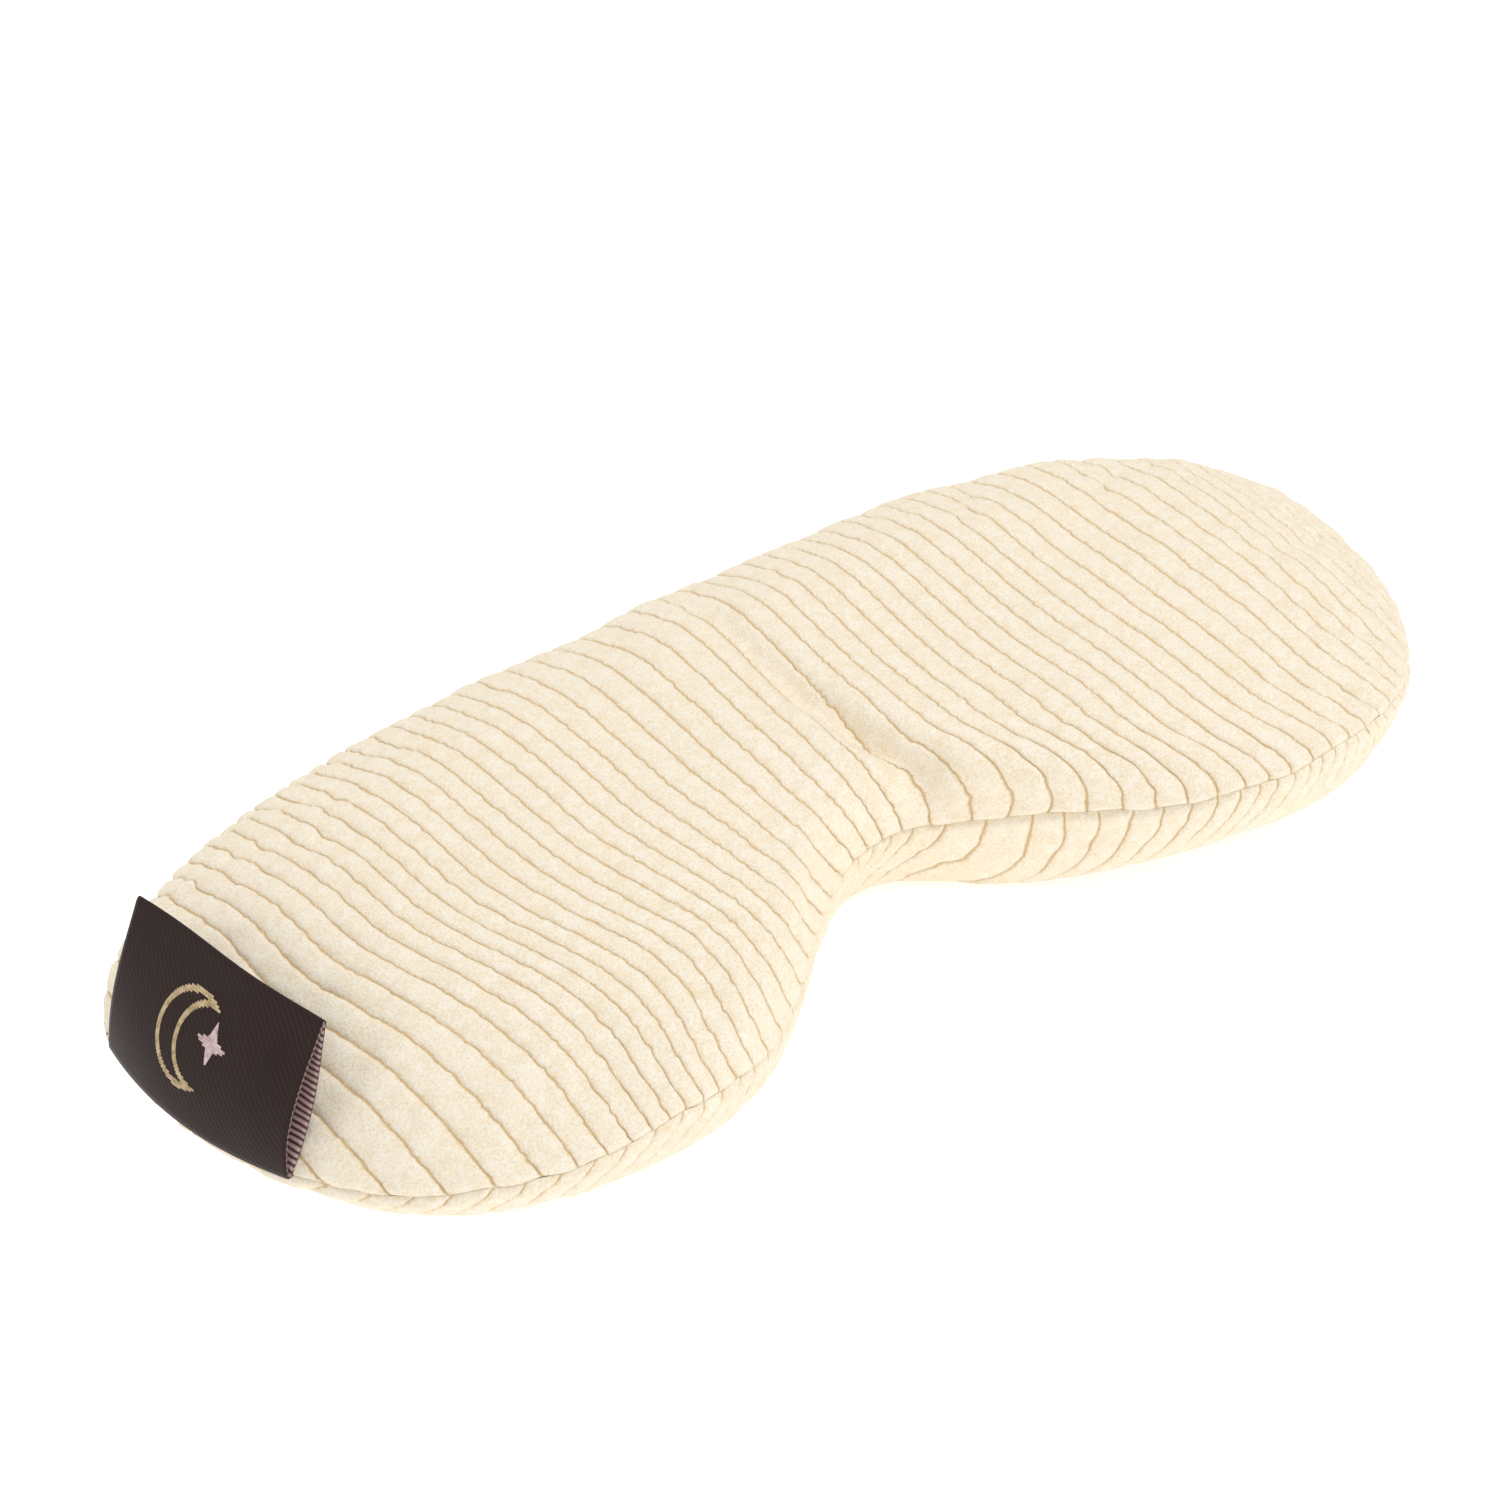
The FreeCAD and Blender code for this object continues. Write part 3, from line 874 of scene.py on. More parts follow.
@dataclass(frozen=True)
class LabelPlace:
    """Where the label leaves the seam: taken from the frame's hinge."""

    width: float = 41.0
    length: float = 25.2
    lean: float = 27.0
    hinge_above_seam: float = 3.0
    hinge_outboard: float = 3.78
    seam_bow: float = 2.98

    def axes(self) -> tuple[np.ndarray, np.ndarray, np.ndarray, np.ndarray]:
        """Works out the label's own directions.

        Returns:
            The middle of the seam's chord, and unit vectors along the seam, inwards and up.
        """
        joint = frame["joints"][0]
        hinge = np.array(joint["pos_m"]) / MM
        along = unit(np.array(joint["axis"], float))
        inwards = np.cross([0, 0, 1.0], along)
        lean = math.radians(self.lean)
        up = np.array([0, 0, math.cos(lean)]) + inwards * math.sin(lean)
        chord = hinge - up * self.hinge_above_seam + inwards * self.hinge_outboard
        return chord, along, inwards, up


# ---------------------------------------------------------------------------------------------
# Sub-assemblies

def eased(share: np.ndarray, crowding: float = 0.09) -> np.ndarray:
    """Spaces shares from 0 to 1 closer together at both ends."""
    return share - crowding * np.sin(2 * math.pi * share)


@dataclass(frozen=True)
class ClothTrial:
    """Lets a coarse copy of a panel puff up under the filling, held at its seam.

    Its rest lengths are the flat cloth's, so the fullness round the rim buckles into puckers.
    """

    columns: int = 84
    rows: int = 36
    pressure: float = 4.0
    vertex_mass: float = 0.0004
    frames: int = 24
    most: float = 1.2
    fullness: float = 1.012
    quality: int = 8
    stretch_stiffness: float = 12.0
    shear_stiffness: float = 4.0
    bending_stiffness: float = 0.02
    damping: float = 8.0

    def displacement(self, shape: PanelShape) -> np.ndarray:
        """Runs the simulation.

        Args:
            shape: the panel to puff up.

        Returns:
            How far each point of the coarse grid moved, column by column.
        """
        grid_u, grid_t = np.meshgrid(np.linspace(*shape.span(), self.columns),
                                     np.linspace(0, 1, self.rows), indexing="ij")
        flat_u, flat_v = shape.rows_of(grid_u, eased(grid_t))
        start, _ = shape.place(flat_u, flat_v)
        rises = shape.end_height > shape.seam_height
        piece = make_mesh("cloth_trial", start, grid_faces(self.columns, self.rows, flipped=not rises))
        piece.shape_key_add(name="sewn")
        cut = piece.shape_key_add(name="cut")
        flat = np.stack([flat_u, flat_v, np.zeros_like(flat_u)], -1).reshape(-1, 3)
        cut.data.foreach_set("co", (flat * self.fullness * MM).astype(np.float32).ravel())
        edge = np.zeros(grid_u.shape, bool)
        edge[[0, -1]] = True
        edge[:, [0, -1]] = True
        held = piece.vertex_groups.new(name="seam")
        held.add(np.flatnonzero(edge.ravel()).tolist(), 1.0, "REPLACE")
        cloth = piece.modifiers.new("puff", "CLOTH")
        settings = cloth.settings
        settings.vertex_group_mass = "seam"
        settings.rest_shape_key = cut
        settings.use_pressure = True
        settings.uniform_pressure_force = self.pressure
        settings.mass = self.vertex_mass
        settings.quality = self.quality
        settings.tension_stiffness = settings.compression_stiffness = self.stretch_stiffness
        settings.shear_stiffness = self.shear_stiffness
        settings.bending_stiffness = self.bending_stiffness
        settings.tension_damping = settings.compression_damping = self.damping
        settings.effector_weights.gravity = 0.0
        cloth.collision_settings.use_collision = False
        cloth.point_cache.frame_start, cloth.point_cache.frame_end = 1, self.frames
        scene = bpy.context.scene
        for step in range(1, self.frames + 1):
            scene.frame_set(step)
        puffed = piece.evaluated_get(bpy.context.evaluated_depsgraph_get())
        found = np.empty(start.size, np.float32)
        puffed.data.vertices.foreach_get("co", found)
        bpy.data.objects.remove(piece)
        scene.frame_set(1)
        moved = found.reshape(start.shape) / MM - start
        size = np.linalg.norm(moved, axis=-1, keepdims=True)
        LOG.info("cloth moved %.2f mm on average and %.2f mm at most", size.mean(), size.max())
        return moved * np.minimum(1, self.most / np.maximum(size, TINY))


@dataclass
class CordPanel:
    """One corduroy panel, meshed rib by rib."""

    name: str
    shape: PanelShape
    label: LabelPlace
    faces_up: bool
    rib_pitch: float = 4.25
    rib_depth: float = 0.6
    bulge: float = 0.85
    rim_roll: float = 1.2
    rows: int = 150
    first_rib: float = 0.0
    tip_margin: float = 0.3
    phases: tuple[float, ...] = (0.0, 0.04, 0.1, 0.2, 0.34, 0.5, 0.66, 0.8, 0.9, 0.96)
    crown_power: int = 5
    # Where the rib height falls towards the seam, so that the ground's tan, partly painted shade, shows
    # along the seam
    groove_rim: Band = (-0.5, 0.45)
    # The pile bunches up where each rib is caught in the seam
    bunch: Hump = Hump(0.25, 1.3, 0.9)
    drift: tuple[tuple[float, ...], ...] = NO_DRIFT
    pull: tuple[float, ...] = (0.0,) * len(PULL_X)
    pull_reach: Band = (-8.0, 17.0)
    waver: SmoothNoise = SmoothNoise(11, 17.0)
    waver_stretch: float = 0.35
    waver_least: float = 0.3
    waver_left: float = 0.9
    left_lobe: Band = (-10.0, 60.0)
    sway: SmoothNoise = SmoothNoise(12, 34.0, 0.7)
    sway_stretch: float = 0.6
    tip_calm: int = 12
    nibble: SmoothNoise = SmoothNoise(41, 0.9, 0.24)
    nibble_stretch: float = 0.7
    nap: SmoothNoise = SmoothNoise(42, 1.1, 0.07)
    nap_rows: float = 100.0
    calm: Band = (0.0, 12.0)
    puff_calm: Band = (0.0, 5.0)
    broad_lumps: SmoothNoise = SmoothNoise(21, 30.0, 0.9)
    small_lumps: SmoothNoise = SmoothNoise(22, 13.0, 0.35)
    back: Band = (5.0, 38.0)
    back_rise: float = 2.2
    bridge_rise: Hump = Hump(1.2, 28.0, 38.0)
    lobe_rise: Hump = Hump(1.6, 92.0, 25.0)
    crease: Hump = Hump(-3.5, 0.0, 2.6)
    crease_lip: Hump = Hump(0.9, 8.0, 5.0)
    wall: Band = (3.0, 9.0)
    wall_lumps: SmoothNoise = SmoothNoise(31, 21.0, 0.5)
    arch: Hump = Hump(1.8, 0.0, 24.0)
    arch_front: Band = (-20.0, 14.0)
    dent: Hump = Hump(0.9, 0.0, 4.5)
    dent_end: Band = (-1.0, 4.0)
    dent_depth: float = 30.0

    def columns(self) -> tuple[np.ndarray, np.ndarray]:
        """Places the mesh columns across the ribs, closer together at the grooves.

        Returns:
            Where each column is on the flat cloth, and its place within its rib.
        """
        start, end = self.shape.span()
        count = math.ceil((end - start) / self.rib_pitch) + 1
        phase = np.tile(self.phases, count)
        u = start - self.first_rib + (np.repeat(np.arange(count), len(self.phases)) + phase) * self.rib_pitch
        kept = (u > start + self.tip_margin) & (u < end - self.tip_margin)
        return np.concatenate([[start], u[kept], [end]]), np.concatenate([[0.0], phase[kept], [0.0]])

    def wander(self, u: np.ndarray, v: np.ndarray) -> np.ndarray:
        """Works out how far the ribs have drifted sideways, most of all over the left lobe.

        Args:
            u: places across the ribs.
            v: places along the ribs.

        Returns:
            The drift at each place.
        """
        left = smooth_step(-u, *self.left_lobe)
        drift = self.waver.at(u * self.waver_stretch, v) * (self.waver_least + self.waver_left * left)
        drift += self.sway.at(u * self.sway_stretch, v)
        drift += blend_table(DRIFT_X, DRIFT_Y, self.drift, u, v)
        near, _ = self.shape.flat_edges()
        from_seam = v - np.interp(u, near[:, 0], near[:, 1])
        return drift + np.interp(u, PULL_X, self.pull) * (1 - smooth_step(from_seam, *self.pull_reach))

    def relief(self, points: np.ndarray, to_seam: np.ndarray) -> np.ndarray:
        """Works out the lumps of the filling and the crease beside the bridge.

        Args:
            points: places on the panel.
            to_seam: length of cloth between each and the seam.

        Returns:
            How far the cloth stands out at each place.
        """
        x, y = points[..., 0], points[..., 1]
        away = smooth_step(to_seam, *self.calm)
        if not self.faces_up:
            side = smooth_step(points[..., 2], *self.wall)
            arch = smooth_step(-y, *self.arch_front) * self.arch.at(x)
            return self.wall_lumps.at(x, y) * away * side - arch * away
        lumps = self.broad_lumps.at(x, y) + self.small_lumps.at(x, y)
        rise = self.back_rise + self.bridge_rise.at(x) + self.lobe_rise.at(x)
        lumps += rise * smooth_step(y, *self.back)
        beside = x - np.interp(y, CREASE_Y, CREASE_X)
        crease = self.crease.at(beside) + self.crease_lip.at(beside)
        return (lumps + crease * np.interp(y, DEPTH_Y, CREASE_DEPTH)) * away

    def puff(self, flat_u: np.ndarray, share: np.ndarray) -> np.ndarray:
        """Reads how far the cloth trial moved the panel.

        Args:
            flat_u: places across the ribs.
            share: shares of the way along each rib.

        Returns:
            A movement for each place.
        """
        trial = ClothTrial()
        moved = trial.displacement(self.shape)
        across = np.linspace(*self.shape.span(), trial.columns)
        along = np.linspace(0, 1, trial.rows)
        return np.stack([blend_table(across, along, moved[..., axis].T, flat_u, share)
                         for axis in range(3)], -1)

    def build(self) -> bpy.types.Object:
        """Makes the panel.

        Returns:
            The mesh, with rib height stored for the finish.
        """
        u, phase = self.columns()
        straight_u, share = np.meshgrid(u, np.linspace(0, 1, self.rows), indexing="ij")
        grid_w = eased(share)
        nap_w = grid_w * self.nap_rows
        drift = self.wander(*self.shape.rows_of(straight_u, grid_w))
        drift += self.nibble.at(straight_u * self.nibble_stretch, nap_w)
        # The drift dies away at the tips, so that no two columns meet before the seam
        start, end = self.shape.span()
        held = (straight_u / np.where(straight_u < 0, start, end)) ** self.tip_calm
        grid_u = straight_u + drift * (1 - held)
        points, to_seam = self.shape.place(*self.shape.rows_of(grid_u, grid_w))
        to_seam = np.maximum(to_seam, 0)
        points = points + self.puff(grid_u, share) * smooth_step(to_seam, *self.puff_calm)[..., None]
        if not self.faces_up:
            points[..., 2] = np.maximum(points[..., 2], self.shape.end_height)
        normal = unit(np.cross(np.gradient(points, axis=0), np.gradient(points, axis=1)))
        if not self.faces_up:
            normal = -normal
        crown = (1 - np.abs(2 * phase - 1) ** self.crown_power)[:, None]
        rolled = np.sqrt(1 - (1 - np.clip(to_seam / self.rim_roll, 0, 1)) ** 2)
        height = rolled * (self.bulge + self.rib_depth * (crown - 1)) + crown * self.bunch.at(to_seam)
        height += self.relief(points, to_seam) + self.nap.at(straight_u, nap_w) * rolled
        if self.faces_up:
            height *= self.clear_of_label(points, to_seam)
        points = points + normal * height[..., None]
        # The rib height picks the colour: low in the grooves and at the seam, where the ground's tan is
        # partly painted shade
        rib = np.minimum(crown * np.ones_like(grid_w), smooth_step(to_seam, *self.groove_rim))
        return make_mesh(self.name, points, grid_faces(len(u), self.rows, flipped=not self.faces_up),
                         {"rib": rib})

    def clear_of_label(self, points: np.ndarray, to_seam: np.ndarray) -> np.ndarray:
        """Works out where the label presses the cloth in.

        Args:
            points: places on the panel.
            to_seam: length of cloth between each and the seam.

        Returns:
            The share of the bulge that is left at each place.
        """
        chord, along, inwards, _ = self.label.axes()
        offset = points - chord
        past_end = np.abs(offset @ along) - self.label.width / 2
        beside = 1 - smooth_step(past_end, *self.dent_end)
        return 1 - self.dent.at(to_seam) * beside * (offset @ inwards < self.dent_depth)


@dataclass
class PlainPanel:
    """One smooth panel of the inner bag, or the outside of its filling."""

    name: str
    shape: PanelShape
    faces_up: bool
    pitch: float = 3.0
    rows: int = 40
    rough: float = 0.15
    hills: SmoothNoise = SmoothNoise(51, 9.0)
    calm: Band = (0.0, 6.0)

    def grid(self) -> np.ndarray:
        """Lays out the panel's points.

        Returns:
            Their places, column by column.
        """
        start, end = self.shape.span()
        u = np.linspace(start, end, int((end - start) / self.pitch))
        w = np.linspace(0, 1, self.rows)
        grid_u, grid_w = np.meshgrid(u, eased(w), indexing="ij")
        points, to_seam = self.shape.place(*self.shape.rows_of(grid_u, grid_w))
        lift = self.hills.at(points[..., 0], points[..., 1]) * smooth_step(to_seam, *self.calm)
        points[..., 2] += lift * self.rough
        return points

    def build(self) -> bpy.types.Object:
        """Makes the panel's mesh."""
        points = self.grid()
        return make_mesh(self.name, points,
                         grid_faces(*points.shape[:2], flipped=not self.faces_up))


@dataclass
class StitchRow:
    """A row of machine stitches along a seam."""

    name: str
    shape: PanelShape
    lift: float
    thread: float = 0.4
    stitch: float = 2.6
    gap: float = 0.5
    rings: int = 7
    sides: int = 8
    pinch: float = 1.02

    def build(self) -> bpy.types.Object:
        """Makes every stitch as a short thread with pinched ends.

        Returns:
            One mesh of all the stitches.
        """
        ring = self.shape.outline.ring()
        ring = np.concatenate([ring, ring[:1]])
        walked = np.concatenate([[0], np.cumsum(np.linalg.norm(np.diff(ring, axis=0), axis=1))])
        count = int(walked[-1] / (self.stitch + self.gap))
        starts = np.arange(count) * walked[-1] / count
        along = np.linspace(0, 1, self.rings)
        turns = np.linspace(0, 2 * math.pi, self.sides, endpoint=False)
        at = starts[:, None] + along * self.stitch
        line = np.stack([np.interp(at, walked, ring[:, k]) for k in (0, 1)], -1)
        height = self.shape.seam_z(line) + self.lift
        centre = np.concatenate([line + np.array(self.shape.origin), height[..., None]], -1)
        ahead = unit(np.gradient(centre, axis=1))
        side = unit(np.cross(ahead, [0, 0, 1.0]))
        radius = self.thread / 2 * np.sqrt(self.pinch - (2 * along - 1) ** 4)
        spoke = side[:, :, None] * np.cos(turns)[:, None] + np.array([0, 0, 1.0]) * np.sin(turns)[:, None]
        points = centre[:, :, None] + spoke * radius[:, None, None]
        # Stored stitch by stitch, and within it turn by turn, so that each is a closed grid
        points = points.transpose(0, 2, 1, 3)
        tube = grid_faces(self.sides, self.rings, closed=True)
        first = [side * self.rings for side in range(self.sides)]
        caps = [first[::-1], [corner + self.rings - 1 for corner in first]]
        per_stitch = self.sides * self.rings
        faces = []
        for i in range(count):
            faces.extend((tube + i * per_stitch).tolist())
            faces.extend([[p + i * per_stitch for p in cap] for cap in caps])
        return make_mesh(self.name, points, faces)


@dataclass
class Pillow:
    """The corduroy cover with its seam, inner bag and filling."""

    top_height: float = 30.5
    dome: tuple[Band, ...] = ((1, 0), (0.955, 0.45), (0.85, 1), (0.2, 1))
    base: tuple[Band, ...] = ((1, 0), (0.99, 0.4), (0.83, 0.97), (0.48, 1))
    floor_gap: float = 0.1
    fuller_front: float = 0.55
    base_first_rib: float = 1.7
    seam_inset: float = 1.6
    seam_ply: float = 0.25
    bag_inset: float = 7.5
    bag_seam_inset: float = 1.2
    bag_seam_ply: float = 0.2
    bag_thread: float = 0.25
    bag_top: float = 26.6
    bag_floor: float = 2.4
    skin: float = 0.6
    filling_pitch: float = 2.2
    filling_rows: int = 55
    filling_rough: float = 0.4

    def origin(self) -> tuple[float, float]:
        """Works out where the middle of the pattern is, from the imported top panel's box.

        Returns:
            Its place in the frame, along X and Y.
        """
        low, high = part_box("top_panel")
        pattern = Outline()
        return high.x / MM - pattern.half_length, low.y / MM - pattern.near_y

    def domed(self, inset: float, height: float) -> PanelShape:
        """An upper panel that many millimetres inside the outline."""
        return PanelShape(Outline(inset=inset), self.dome, height, origin=self.origin())

    def based(self, inset: float, height: float) -> PanelShape:
        """A lower panel that many millimetres inside the outline."""
        return PanelShape(Outline(inset=inset), self.base, height, origin=self.origin())

    def cover(self) -> list[tuple[CordPanel | StitchRow, Finish, Slot, str]]:
        """Plans the corduroy cover and its seam.

        Returns:
            What makes each piece, its finish, its slot and the node it stands for.
        """
        origin, label, bulge = self.origin(), LabelPlace(), CordPanel.bulge
        cloth, thread = CottonCorduroy(), SpunThread()
        top = PanelShape(Outline(), self.dome, self.top_height - bulge, origin=origin)
        bottom = PanelShape(Outline(), self.base, bulge + self.floor_gap, origin=origin,
                            fuller_front=self.fuller_front)
        seam = self.domed(self.seam_inset, self.top_height)
        return [
            (CordPanel("top_cover", top, label, True, drift=TOP_DRIFT, pull=TOP_PULL),
             cloth, Slot.CORD_CLOTH, "top_panel"),
            (CordPanel("bottom_cover", bottom, label, False, first_rib=self.base_first_rib, pull=BASE_PULL),
             cloth, Slot.CORD_CLOTH, "bottom_panel"),
            (StitchRow("cover_needle_stitches", seam, self.seam_ply),
             thread, Slot.SEWING_THREAD, "needle_thread"),
            (StitchRow("cover_bobbin_stitches", seam, -self.seam_ply),
             thread, Slot.SEWING_THREAD, "bobbin_thread"),
        ]

    def inner_bag(self) -> list[tuple[PlainPanel | StitchRow, Finish, Slot, str]]:
        """Plans the cotton bag and its seam.

        Returns:
            What makes each piece, its finish, its slot and the node it stands for.
        """
        calico, thread = Calico(), SpunThread()
        seam = self.domed(self.bag_inset + self.bag_seam_inset, self.bag_top)
        return [
            (StitchRow("bag_needle_stitches", seam, self.bag_seam_ply, self.bag_thread),
             thread, Slot.SEWING_THREAD, "inner_bag_needle_thread"),
            (StitchRow("bag_bobbin_stitches", seam, -self.bag_seam_ply, self.bag_thread),
             thread, Slot.SEWING_THREAD, "inner_bag_bobbin_thread"),
            (PlainPanel("calico_bag_top", self.domed(self.bag_inset, self.bag_top), True),
             calico, Slot.COTTON_BAG, "inner_bag_top"),
            (PlainPanel("calico_bag_bottom", self.based(self.bag_inset, self.bag_floor), False),
             calico, Slot.COTTON_BAG, "inner_bag_bottom"),
        ]

    def build(self) -> list[bpy.types.Object]:
        """Makes and dresses everything that rides on the pillow's body.

        Returns:
            The pieces made.
        """
        made = []
        for part, finish, slot, node in self.cover() + self.inner_bag():
            piece = part.build()
            finish.dress(piece)
            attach(piece, Body.PILLOW.value)
            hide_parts(node)
            made.append(piece)
        made.append(self.filling())
        SpunThread().dress(frame["nodes"]["closing_stitches"])
        return made

    def filling(self) -> bpy.types.Object:
        """Makes the heap of seeds as one closed surface.

        Returns:
            The filling.
        """
        inset = self.bag_inset + self.skin
        upper = self.domed(inset, self.bag_top - self.skin)
        lower = self.based(inset, self.bag_floor + self.skin)
        fineness = self.filling_pitch, self.filling_rows
        panels = [PlainPanel("filling", upper, True, *fineness, self.filling_rough),
                  PlainPanel("filling", lower, False, *fineness)]
        points, faces, used = [], [], 0
        for panel in panels:
            grid = panel.grid()
            faces.extend((grid_faces(*grid.shape[:2], flipped=not panel.faces_up) + used).tolist())
            points.append(grid.reshape(-1, 3))
            used += len(points[-1])
        piece = make_mesh("linseed_filling", np.concatenate(points), faces)
        Linseed().dress(piece)
        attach(piece, Body.PILLOW.value)
        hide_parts("seed_filling")
        return piece


@dataclass
class WovenLabel:
    """A satin ribbon folded into a loop, with both ends caught in the seam."""

    place: LabelPlace
    ribbon: float = 0.35
    tail: float = 5.0
    front_gap: float = 1.9
    back_gap: float = 1.0
    columns: int = 60
    motif_along: float = -1.5
    motif_up: float = 0.52
    moon_radius: float = 7.2
    bite_radius: float = 5.8
    bite_shift: float = 3.6
    line: float = 0.9
    star_radius: float = 3.4
    star_waist: float = 1.25
    star_shift: tuple[float, float] = (4.6, 1.4)
    float_pitch: float = 0.36
    float_sides: int = 5
    float_step: float = 0.06
    float_gap: float = 0.01
    float_dip: float = 0.9
    least_steps: int = 5
    least_rings: int = 4
    steps_a_ring: int = 8
    proud: float = 0.12
    seam_clear: float = 0.25
    fold_inward: float = 2.6
    fold_wave: float = 0.3
    fold_wave_length: float = 6.0
    fold_wave_start: float = 0.6
    straightens: Band = (1.0, 28.0)
    lens_low: float = 0.8
    lens_point: float = 1.2
    least_opening: float = 0.75
    edge_opening: float = 0.5
    layer_gap: float = 0.08
    wall_rows: int = 34
    wall_crowding: float = 0.9
    fold_rows: int = 9
    fold_radius: float = 0.5
    tail_rows: int = 8
    tail_end: float = 0.12
    tail_drop: float = 0.25
    bend_start: float = 0.6
    bend_end: float = 5.2

    def front_offset(self, across: np.ndarray, height: np.ndarray) -> np.ndarray:
        """Works out how far outboard of the seam's chord the middle of the loop is.

        Args:
            across: places across the ribbon.
            height: heights above the seam, along the loop.

        Returns:
            The distance at each place: bowed with the seam at the foot, nearly straight at the fold.
        """
        half = self.place.width / 2
        at_seam = self.place.seam_bow * (1 - (across / half) ** 2) + self.seam_clear
        wave = self.fold_wave * np.sin(across / self.fold_wave_length + self.fold_wave_start)
        at_fold = self.place.hinge_outboard - self.fold_inward + wave
        blend = smooth_step(height, *self.straightens)
        return at_seam * (1 - blend) + at_fold * blend

    def opening(self, across: np.ndarray, height: np.ndarray) -> np.ndarray:
        """Works out how far the loop's walls stand apart, widest towards the front edge.

        Args:
            across: places across the ribbon.
            height: heights above the seam, along the loop.

        Returns:
            A share of the full opening at each place.
        """
        share = np.clip(height / self.place.length, 0, 1)
        lens = np.sin(math.pi * share ** self.lens_low) ** self.lens_point
        return lens * (self.least_opening + self.edge_opening * smooth_step(across, 0, self.place.width / 2))

    def path(self) -> tuple[np.ndarray, np.ndarray]:
        """Line of the ribbon from one tail over the fold to the other.

        Returns:
            Heights, and which layer: -1 at the front, 1 at the back, between them in the fold.
        """
        wall = self.place.length - self.fold_radius
        up = np.linspace(0, 1, self.wall_rows) ** self.wall_crowding * wall
        turn = np.linspace(0, math.pi, self.fold_rows)[1:-1]
        fold = wall + self.fold_radius * np.sin(turn)
        height = np.concatenate([up, fold, up[::-1]])
        layer = np.concatenate([-np.ones(len(up)), -np.cos(turn), np.ones(len(up))])
        return height, layer

    def centre(self, across: np.ndarray, height: np.ndarray, layer: np.ndarray) -> np.ndarray:
        """Finds the middle of the ribbon's thickness.

        Args:
            across: places across the ribbon.
            height: heights above the seam, along the loop.
            layer: -1 on the front wall, 1 on the back wall.

        Returns:
            A point for each place.
        """
        chord, along, inwards, up = self.place.axes()
        least = self.ribbon / 2 + self.layer_gap
        gap = np.where(layer < 0, self.front_gap, self.back_gap) * self.opening(across, height)
        inward = -self.front_offset(across, height) + layer * (least + gap)
        return chord + across[..., None] * along + inward[..., None] * inwards + height[..., None] * up

    def ribbon_points(self) -> tuple[np.ndarray, np.ndarray, np.ndarray]:
        """Centreline grid of the ribbon, with its tails.

        Returns:
            Places, column by column, distance along the ribbon, and distance across it.
        """
        height, layer = self.path()
        half = self.place.width / 2
        across = np.linspace(-half, half, self.columns)
        grid_a, grid_h = np.meshgrid(across, height, indexing="ij")
        loop = self.centre(grid_a, grid_h, np.broadcast_to(layer, grid_h.shape))
        _, _, inwards, _ = self.place.axes()
        reach = np.linspace(1, self.tail_end, self.tail_rows)[:, None] * self.tail
        front_tail = loop[:, :1] + reach * inwards - np.array([0, 0, self.tail_drop])
        back_tail = loop[:, -1:] + reach[::-1] * inwards
        points = np.concatenate([front_tail, loop, back_tail], 1)
        walked = np.concatenate([np.zeros((len(points), 1)), np.cumsum(
            np.linalg.norm(np.diff(points, axis=1), axis=2), 1)], 1)
        return points, walked, np.broadcast_to(across[:, None], walked.shape)

    def build_ribbon(self) -> bpy.types.Object:
        """Makes the folded loop with its tails.

        Returns:
            The ribbon.
        """
        points, walked, across = self.ribbon_points()
        normal = unit(np.cross(np.gradient(points, axis=0), np.gradient(points, axis=1)))
        columns, rows = walked.shape
        half = self.ribbon / 2
        outer, inner = points + normal * half, points - normal * half
        # The ribbon's reverse is inside the loop
        shell = np.concatenate([outer, inner[::-1]])
        reverse = np.concatenate([np.zeros(walked.shape), np.ones(walked.shape)])
        faces = grid_faces(2 * columns, rows, flipped=True, closed=True).tolist()
        # Close the cut ends, so that the ribbon is one thin solid
        for i in range(columns - 1):
            j = 2 * columns - 1 - i
            faces.append([i * rows, (i + 1) * rows, (j - 1) * rows, j * rows])
            faces.append([j * rows + rows - 1, j * rows - 1, (i + 2) * rows - 1, (i + 1) * rows - 1])
        piece = make_mesh("label_loop", shell, faces, {"reverse": reverse})
        layer = piece.data.uv_layers.new(name="cloth")
        flat = np.stack([np.concatenate([across, across[::-1]]),
                         np.concatenate([walked, walked[::-1]])], -1).reshape(-1, 2) * MM
        corners = np.empty(len(piece.data.loops), int)
        piece.data.loops.foreach_get("vertex_index", corners)
        layer.data.foreach_set("uv", flat[corners].astype(np.float32).ravel())
        SatinRibbon().dress(piece)
        chord, _, inwards, up = self.place.axes()
        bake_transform(piece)
        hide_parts("woven_label", "label_tails")
        return piece

    def floats(self, name: str, inside: Callable[[np.ndarray, np.ndarray], np.ndarray],
               reach: float) -> bpy.types.Object:
        """Fills a drawn shape with level pattern threads lying on the label's front.

        Args:
            name: the piece's name.
            inside: says which places, across and up from the motif's middle, are in the shape.
            reach: how far the shape goes from the motif's middle.

        Returns:
            One mesh of all the threads.
        """
        points, faces, used = [], [], 0
        _, along, _, up = self.place.axes()
        outward = unit(np.cross(along, up))
        turns = np.linspace(0, math.pi, self.float_sides)[:, None]
        samples = np.arange(-reach, reach, self.float_step)
        for level in np.arange(-reach, reach, self.float_pitch):
            within = inside(samples, np.full(samples.shape, level))
            edges = np.flatnonzero(np.diff(np.concatenate([[False], within, [False]]).astype(int)))
            for begin, end in edges.reshape(-1, 2):
                if end - begin < self.least_steps:
                    continue
                rings = max(self.least_rings, (end - begin) // self.steps_a_ring)
                run = np.linspace(samples[begin], samples[end - 1], rings)
